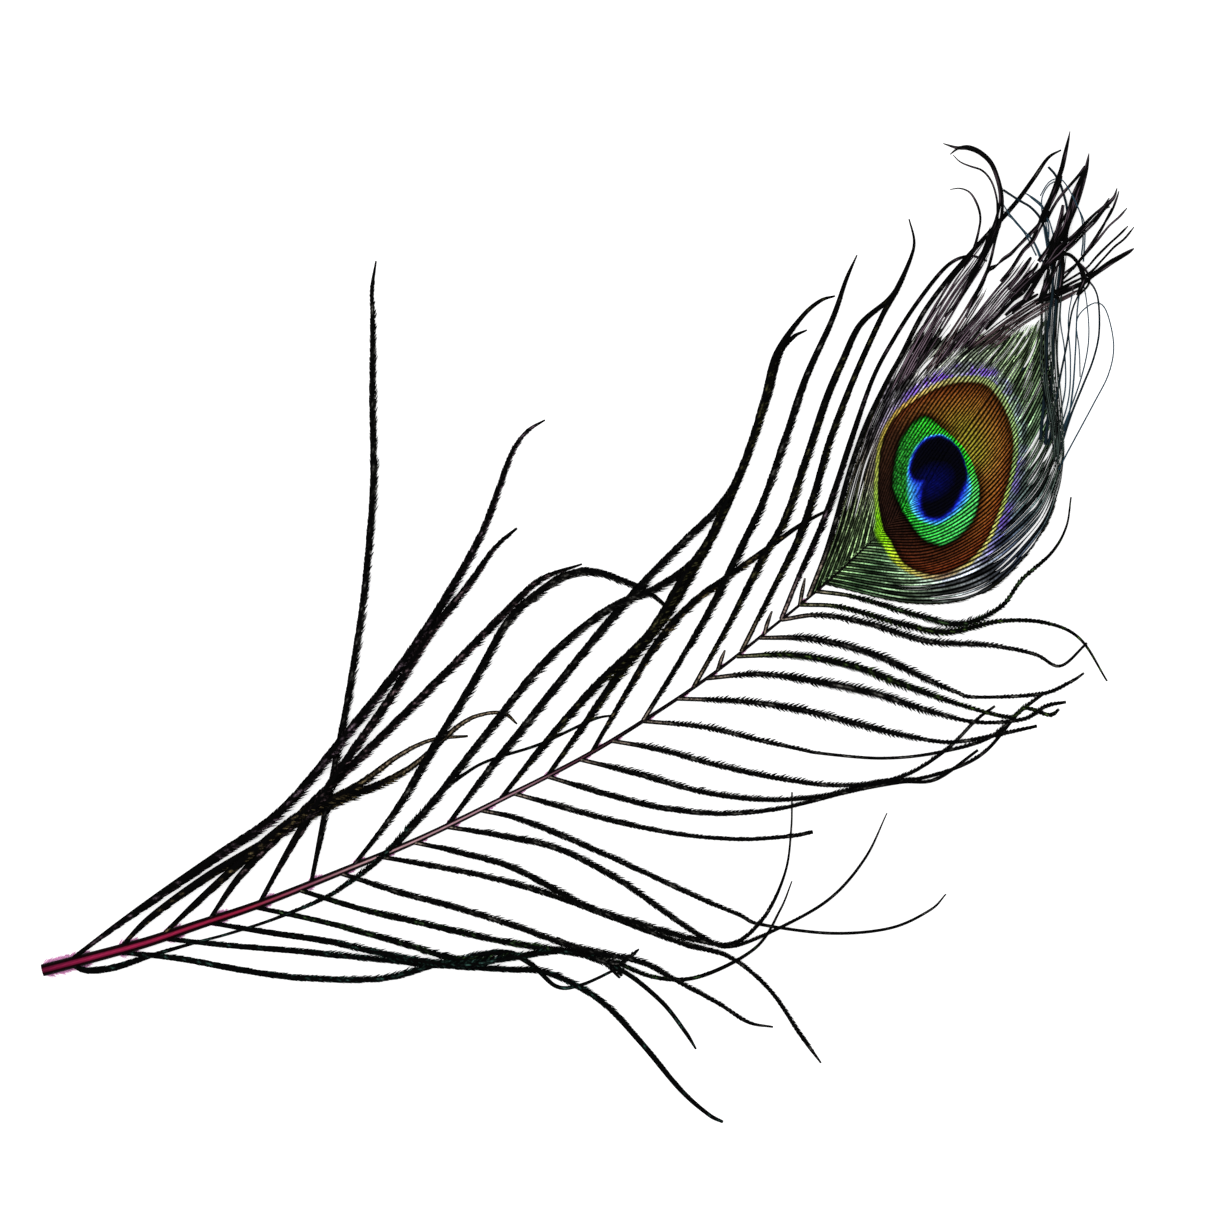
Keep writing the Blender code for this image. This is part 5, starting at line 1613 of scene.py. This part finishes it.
PLUME_SEED = 5
PLUME_CLEARANCE = 0.1 * MM
PLUME_ROOT_HEIGHT = VANE_HEIGHT_AT_RIM + 0.6 * MM
STRAND_CLEARANCE_SHARE = 0.4
STRAND_HEIGHT_SHARE = 0.5

# The fans
FAN_STATIONS = 60
FAN_WAVE = 9 * MM
FAN_WAVER = 0.9
FAN_LATE_START = 6  # stations by which a strand may start late
FAN_EARLY_STOP = 12  # and by which it may end early
FAN_WIDTH_WAVE = 4 * MM
FAN_WIDTHS = (0.23, 0.14)
FAN_THINNEST = 0.7 * PIXEL
FAN_ROOT_STATIONS = 8
FAN_TIP_STATIONS = 6
FAN_END_SHARE = 0.2
FAN_STREAK_WAVE = 2.5 * MM
FAN_STREAK_GAIN = 2.4
FAN_STREAK_FROM = 0.3
FAN_TIP_FADE = 0.6
FAN_STRENGTHS = (0.3, 0.7)
FAN_STRONGEST = 0.9
FAN_ROOT_FADE = 0.12
FAN_LIFT_MORE = 0.6

# The locks
LOCK_FULLNESS = 1.2
LOCK_STATION = 0.6 * MM
LOCK_STRAND_ROOM = 2.6 * PIXEL
LOCK_WIDTHS = (1.0, 0.35)
LOCK_WIDTH_WAVE = 4 * MM
LOCK_WAVE = 5 * MM
LOCK_WAVER = 0.8
LOCK_TINT_WAVE = 3 * MM
LOCK_TINT_GAIN = 3
LOCK_TINT_FROM = 1.8
LOCK_TINT_STRENGTH = 0.5
LOCK_LIFT_STEP = 0.12

# The hairs
HAIR_STATION = 0.9 * MM
HAIR_FULLNESS = 1.15
THINNEST_HAIR = 1.65
HAIR_TAPER = 0.3
HAIR_HEIGHT_SHARE = 0.8
PALE_HAIR_PX = 2
PALE_HAIR_STRENGTH = 0.4
DARK_HAIR_STRENGTH = 0.1


def add_strand(joined, route, half, lift, tint, strength):
    """One strand of the plume along a level route, arched from the vane down to the table: tinted along its
    ridge and black at its sides."""
    along = np.linspace(0, 1, len(route))
    heights = PLUME_CLEARANCE + half * STRAND_CLEARANCE_SHARE + barb_heights(along, lift, PLUME_ROOT_HEIGHT)
    centres = np.column_stack((route, heights))
    shape = strands(centres[None], half[None], half[None] * STRAND_HEIGHT_SHARE, FLAT_SECTION)
    joined.add_tinted(shape, tint, (strength[:, None] * ON_RIDGE).ravel())


def build_fan(plume, fan, dice):
    """One fan: strands that share the room between its edges, each as wide as its place allows."""
    count, lift_mm, tint, *edges = fan
    left_curve, right_curve = (evenly(smooth_through(on_table(edge)), FAN_STATIONS) for edge in edges)
    room = np.linalg.norm(left_curve - right_curve, axis=1) / count
    reached = np.linspace(0, 1, FAN_STATIONS) * measured(left_curve)[-1]
    for number in range(count):
        waver = (wandering(dice, reached, FAN_WAVE) - 0.5) * FAN_WAVER
        share = ((number + 0.5 + waver) / count)[:, None]
        start = int(dice.integers(0, FAN_LATE_START))
        stop = FAN_STATIONS - int(dice.integers(0, FAN_EARLY_STOP))
        route = (left_curve * (1 - share) + right_curve * share)[start:stop]
        half = (room * ranged(FAN_WIDTHS, wandering(dice, reached, FAN_WIDTH_WAVE)))[start:stop]
        half = np.maximum(half, FAN_THINNEST)
        half[:FAN_ROOT_STATIONS] *= np.linspace(FAN_END_SHARE, 1, FAN_ROOT_STATIONS)
        half[-FAN_TIP_STATIONS:] *= np.linspace(1, FAN_END_SHARE, FAN_TIP_STATIONS)
        along = np.linspace(0, 1, len(route))
        streak = FAN_STREAK_GAIN * wandering(dice, reached, FAN_STREAK_WAVE)[start:stop] - FAN_STREAK_FROM
        strength = (1 - FAN_TIP_FADE * along) * streak * ranged(FAN_STRENGTHS, dice.random())
        strength = np.clip(strength, 0, FAN_STRONGEST) * eased(along, 0.0, FAN_ROOT_FADE)
        add_strand(plume, route, half, (lift_mm + FAN_LIFT_MORE * dice.random()) * MM, tint, strength)


def build_lock(plume, lift_mm, points, dice):
    """One lock: strands that run together and apart within its width."""
    points = np.asarray(points, float)
    curve = smooth_through(np.column_stack((on_table(points[:, :2]), points[:, 2] * PIXEL)))
    stations = stations_for(measured(curve)[-1], LOCK_STATION)
    route = evenly(curve, stations)
    width = route[:, 2] * LOCK_FULLNESS
    reached = np.linspace(0, 1, stations) * measured(route)[-1]
    flat = np.column_stack((route[:, :2], np.zeros(stations)))
    left, _ = normals_of(flat)
    count = max(1, round(width.max() / LOCK_STRAND_ROOM))
    for number in range(count):
        half = ranged(LOCK_WIDTHS, wandering(dice, reached, LOCK_WIDTH_WAVE)) * PIXEL
        half = np.minimum(width / 2, half)
        spot = (number + 0.5) / count * 2 - 1
        waver = (wandering(dice, reached, LOCK_WAVE) - 0.5) * (LOCK_WAVER if count > 1 else 0)
        off = np.clip(spot + waver, -1, 1) * np.maximum(width / 2 - half, 0)
        strength = wandering(dice, reached, LOCK_TINT_WAVE) * LOCK_TINT_GAIN - LOCK_TINT_FROM
        strength = LOCK_TINT_STRENGTH * np.clip(strength, 0, 1)
        way = route[:, :2] + left[:, :2] * off[:, None]
        add_strand(plume, way, half, (lift_mm + LOCK_LIFT_STEP * number) * MM, "mauve", strength)


def build_plume():
    """The plume: fans of barbs that grow on from the vane, and the locks that they run together into."""
    dice = np.random.default_rng(PLUME_SEED)
    plume = Joined()
    for fan in FANS:
        build_fan(plume, fan, dice)
    for lift_mm, points in PLUME_STRANDS:
        build_lock(plume, lift_mm, points, dice)
    plume.piece("plume", shared(bare_plume_keratin), "barb")


def build_hairs():
    """The fine hairs that leave the vane's right side and loop back over the plume."""
    hairs = Joined()
    for width_px, lift_mm, pixels in HAIRS:
        curve = smooth_through(on_table(pixels))
        stations = stations_for(measured(curve)[-1], HAIR_STATION)
        route = evenly(curve, stations)
        along = np.linspace(0, 1, stations)
        half = max(width_px * HAIR_FULLNESS, THINNEST_HAIR) * PIXEL / 2 * (1 - HAIR_TAPER * along)
        heights = half.max() + barb_heights(along, lift_mm * MM, VANE_HEIGHT_AT_RIM)
        centres = np.column_stack((route, heights))
        shape = strands(centres[None], half[None], half[None] * HAIR_HEIGHT_SHARE, ROUND_SECTION)
        strength = PALE_HAIR_STRENGTH if width_px < PALE_HAIR_PX else DARK_HAIR_STRENGTH
        hairs.add_tinted(shape, "hair", strength)
    hairs.piece("hairs", shared(bare_plume_keratin), "barb")


# ---- Stage ----

FLOOR_HALF_SIDE = 2.5
FLOOR_GAP = 0.05 * MM
SKY_STRENGTH = 0.5
# Each lamp's name, its azimuth in degrees, its side in metres and its power in watts
LAMPS = (("key", 130, 0.9, 7.0), ("fill", -40, 1.2, 3.0))
LAMP_DISTANCE = 0.5
LAMP_HEIGHT = 1.1
CAMERA_HEIGHT = 1.2
SENSOR_MM = 36
SIGHT = 20


def build_stage():
    """A pale floor, soft light all round and a camera straight above, turned as the photograph is."""
    scene = bpy.context.scene
    board = bmesh.new()
    bmesh.ops.create_grid(board, x_segments=1, y_segments=1, size=FLOOR_HALF_SIDE)
    mesh = bpy.data.meshes.new("floor")
    board.to_mesh(mesh)
    board.free()
    mesh.materials.append(opal_acrylic())
    floor = bpy.data.objects.new("floor", mesh)
    floor.location.z = -FLOOR_GAP
    scene.collection.objects.link(floor)

    world = bpy.data.worlds.new("soft_light")
    world.use_nodes = True
    scene.world = world
    sky = world.node_tree.nodes["Background"]
    feed(world.node_tree, sky, {"Color": linear("#ffffff"), "Strength": SKY_STRENGTH})

    middle = on_table((PHOTO_WIDTH_PX / 2, PHOTO_HEIGHT_PX / 2))
    for name, azimuth, side, power in LAMPS:
        lamp = bpy.data.lights.new(name, "AREA")
        lamp.shape = "SQUARE"
        lamp.size = side
        lamp.energy = power
        holder = bpy.data.objects.new(name, lamp)
        turn = math.radians(azimuth)
        out = LAMP_DISTANCE * np.array((math.cos(turn), math.sin(turn)))
        holder.location = (*(middle + out), LAMP_HEIGHT)
        aim = Vector((*middle, 0)) - holder.location
        holder.rotation_euler = aim.to_track_quat("-Z", "Y").to_euler()
        scene.collection.objects.link(holder)

    lens = bpy.data.cameras.new("camera")
    lens.sensor_fit = "HORIZONTAL"
    lens.sensor_width = SENSOR_MM
    lens.lens = SENSOR_MM * CAMERA_HEIGHT / (PHOTO_WIDTH_PX * PIXEL)
    lens.clip_end = SIGHT
    camera = bpy.data.objects.new("camera", lens)
    camera.location = (*middle, CAMERA_HEIGHT)
    camera.rotation_euler = (0, 0, -SLANT)
    scene.collection.objects.link(camera)
    scene.camera = camera
    scene.view_settings.view_transform = "Standard"


# ---- The add-on ----


class FeatherSizes(bpy.types.PropertyGroup):
    quill_cut: FloatProperty(
        name="Quill at its cut", description="Width of the quill at its cut end",
        default=2.8 * MM, unit="LENGTH", subtype="DISTANCE", precision=5,
    )
    tuft_length: FloatProperty(
        name="Tuft", description="Length of a tuft of barbules along a barb",
        default=0.85 * MM, unit="LENGTH", subtype="DISTANCE", precision=5,
    )
    barbule_spacing: FloatProperty(
        name="Barbule spacing", description="Distance from one barbule to the next along a barb",
        default=0.24 * MM, unit="LENGTH", subtype="DISTANCE", precision=5,
    )
    barbule_width: FloatProperty(
        name="Barbule width", description="Width of a barbule at its middle",
        default=0.22 * MM, unit="LENGTH", subtype="DISTANCE", precision=5,
    )
    left_barbs: IntProperty(
        name="Eye barbs, left", description="Closely set barbs of the eye, left of the quill",
        default=30, min=8, max=60,
    )
    right_barbs: IntProperty(
        name="Eye barbs, right", description="Closely set barbs of the eye, right of the quill",
        default=42, min=8, max=80,
    )


class FeatherColours(bpy.types.PropertyGroup):
    barb: FloatVectorProperty(
        name="Barb", description="Colour of the barbs without their tint",
        default=linear("#060606"), size=4, min=0, max=1, subtype="COLOR",
    )
    core: FloatVectorProperty(
        name="Core", description="Deep blue patch in the middle of the eye",
        default=linear("#050b5c"), size=4, min=0, max=1, subtype="COLOR",
    )
    violet: FloatVectorProperty(
        name="Violet rim", description="Violet outside the eye's yellow-green rim",
        default=linear("#6e44b8"), size=4, min=0, max=1, subtype="COLOR",
    )
    lime: FloatVectorProperty(
        name="Rim at the quill", description="Lime of the eye's rim beside the quill",
        default=linear("#78c414"), size=4, min=0, max=1, subtype="COLOR",
    )


class FEATHER_OT_quill(bpy.types.Operator):
    """Build the dyed quill"""

    bl_idname = "feather.quill"
    bl_label = "Quill"

    def execute(self, context):
        build_quill(context.scene.feather_sizes)
        return {"FINISHED"}


class FEATHER_OT_loose_barbs(bpy.types.Operator):
    """Build the loose barbs on both sides of the quill, with their barbules"""

    bl_idname = "feather.loose_barbs"
    bl_label = "Loose barbs"

    def execute(self, context):
        build_loose_barbs("lower", LOWER_BARBS, context.scene.feather_sizes)
        build_loose_barbs("upper", UPPER_BARBS, context.scene.feather_sizes)
        build_root_down(context.scene.feather_sizes)
        return {"FINISHED"}


class FEATHER_OT_eye(bpy.types.Operator):
    """Build the eye's closely set barbs and the dark fringe on their outer edges"""

    bl_idname = "feather.eye"
    bl_label = "Eye"

    def execute(self, context):
        sizes = context.scene.feather_sizes
        dice = np.random.default_rng(VANE_SEED)
        left = build_vane("left", VANE_LEFT, sizes.left_barbs, dice)
        right = build_vane("right", VANE_RIGHT, sizes.right_barbs, dice)
        build_vane_fringe(left, right, sizes, dice)
        return {"FINISHED"}


class FEATHER_OT_plume(bpy.types.Operator):
    """Build the plume's fans and locks and the fine hairs beside them"""

    bl_idname = "feather.plume"
    bl_label = "Plume"

    def execute(self, context):
        build_plume()
        build_hairs()
        return {"FINISHED"}


class FEATHER_OT_stage(bpy.types.Operator):
    """Set the floor, the light and the camera"""

    bl_idname = "feather.stage"
    bl_label = "Stage"

    def execute(self, context):
        build_stage()
        return {"FINISHED"}


class FEATHER_PT_pieces(bpy.types.Panel):
    """Lists the feather's pieces and what can be set on them"""

    bl_idname = "FEATHER_PT_pieces"
    bl_label = "Peacock feather"
    bl_space_type = "VIEW_3D"
    bl_region_type = "UI"
    bl_category = "Feather"

    def draw(self, context):
        for group in (context.scene.feather_sizes, context.scene.feather_colours):
            box = self.layout.box()
            for name in group.__annotations__:
                box.prop(group, name)
        for operator in OPERATORS:
            self.layout.operator(operator.bl_idname)


OPERATORS = (
    FEATHER_OT_quill,
    FEATHER_OT_loose_barbs,
    FEATHER_OT_eye,
    FEATHER_OT_plume,
    FEATHER_OT_stage,
)
CLASSES = (FeatherSizes, FeatherColours, *OPERATORS, FEATHER_PT_pieces)


def register():
    for each in CLASSES:
        bpy.utils.register_class(each)
    bpy.types.Scene.feather_sizes = PointerProperty(type=FeatherSizes)
    bpy.types.Scene.feather_colours = PointerProperty(type=FeatherColours)


def unregister():
    del bpy.types.Scene.feather_colours
    del bpy.types.Scene.feather_sizes
    for each in reversed(CLASSES):
        bpy.utils.unregister_class(each)


def main():
    """Builds every piece in order."""
    register()
    bpy.ops.feather.quill()
    bpy.ops.feather.loose_barbs()
    bpy.ops.feather.eye()
    bpy.ops.feather.plume()
    bpy.ops.feather.stage()


if __name__ == "__main__":
    main()
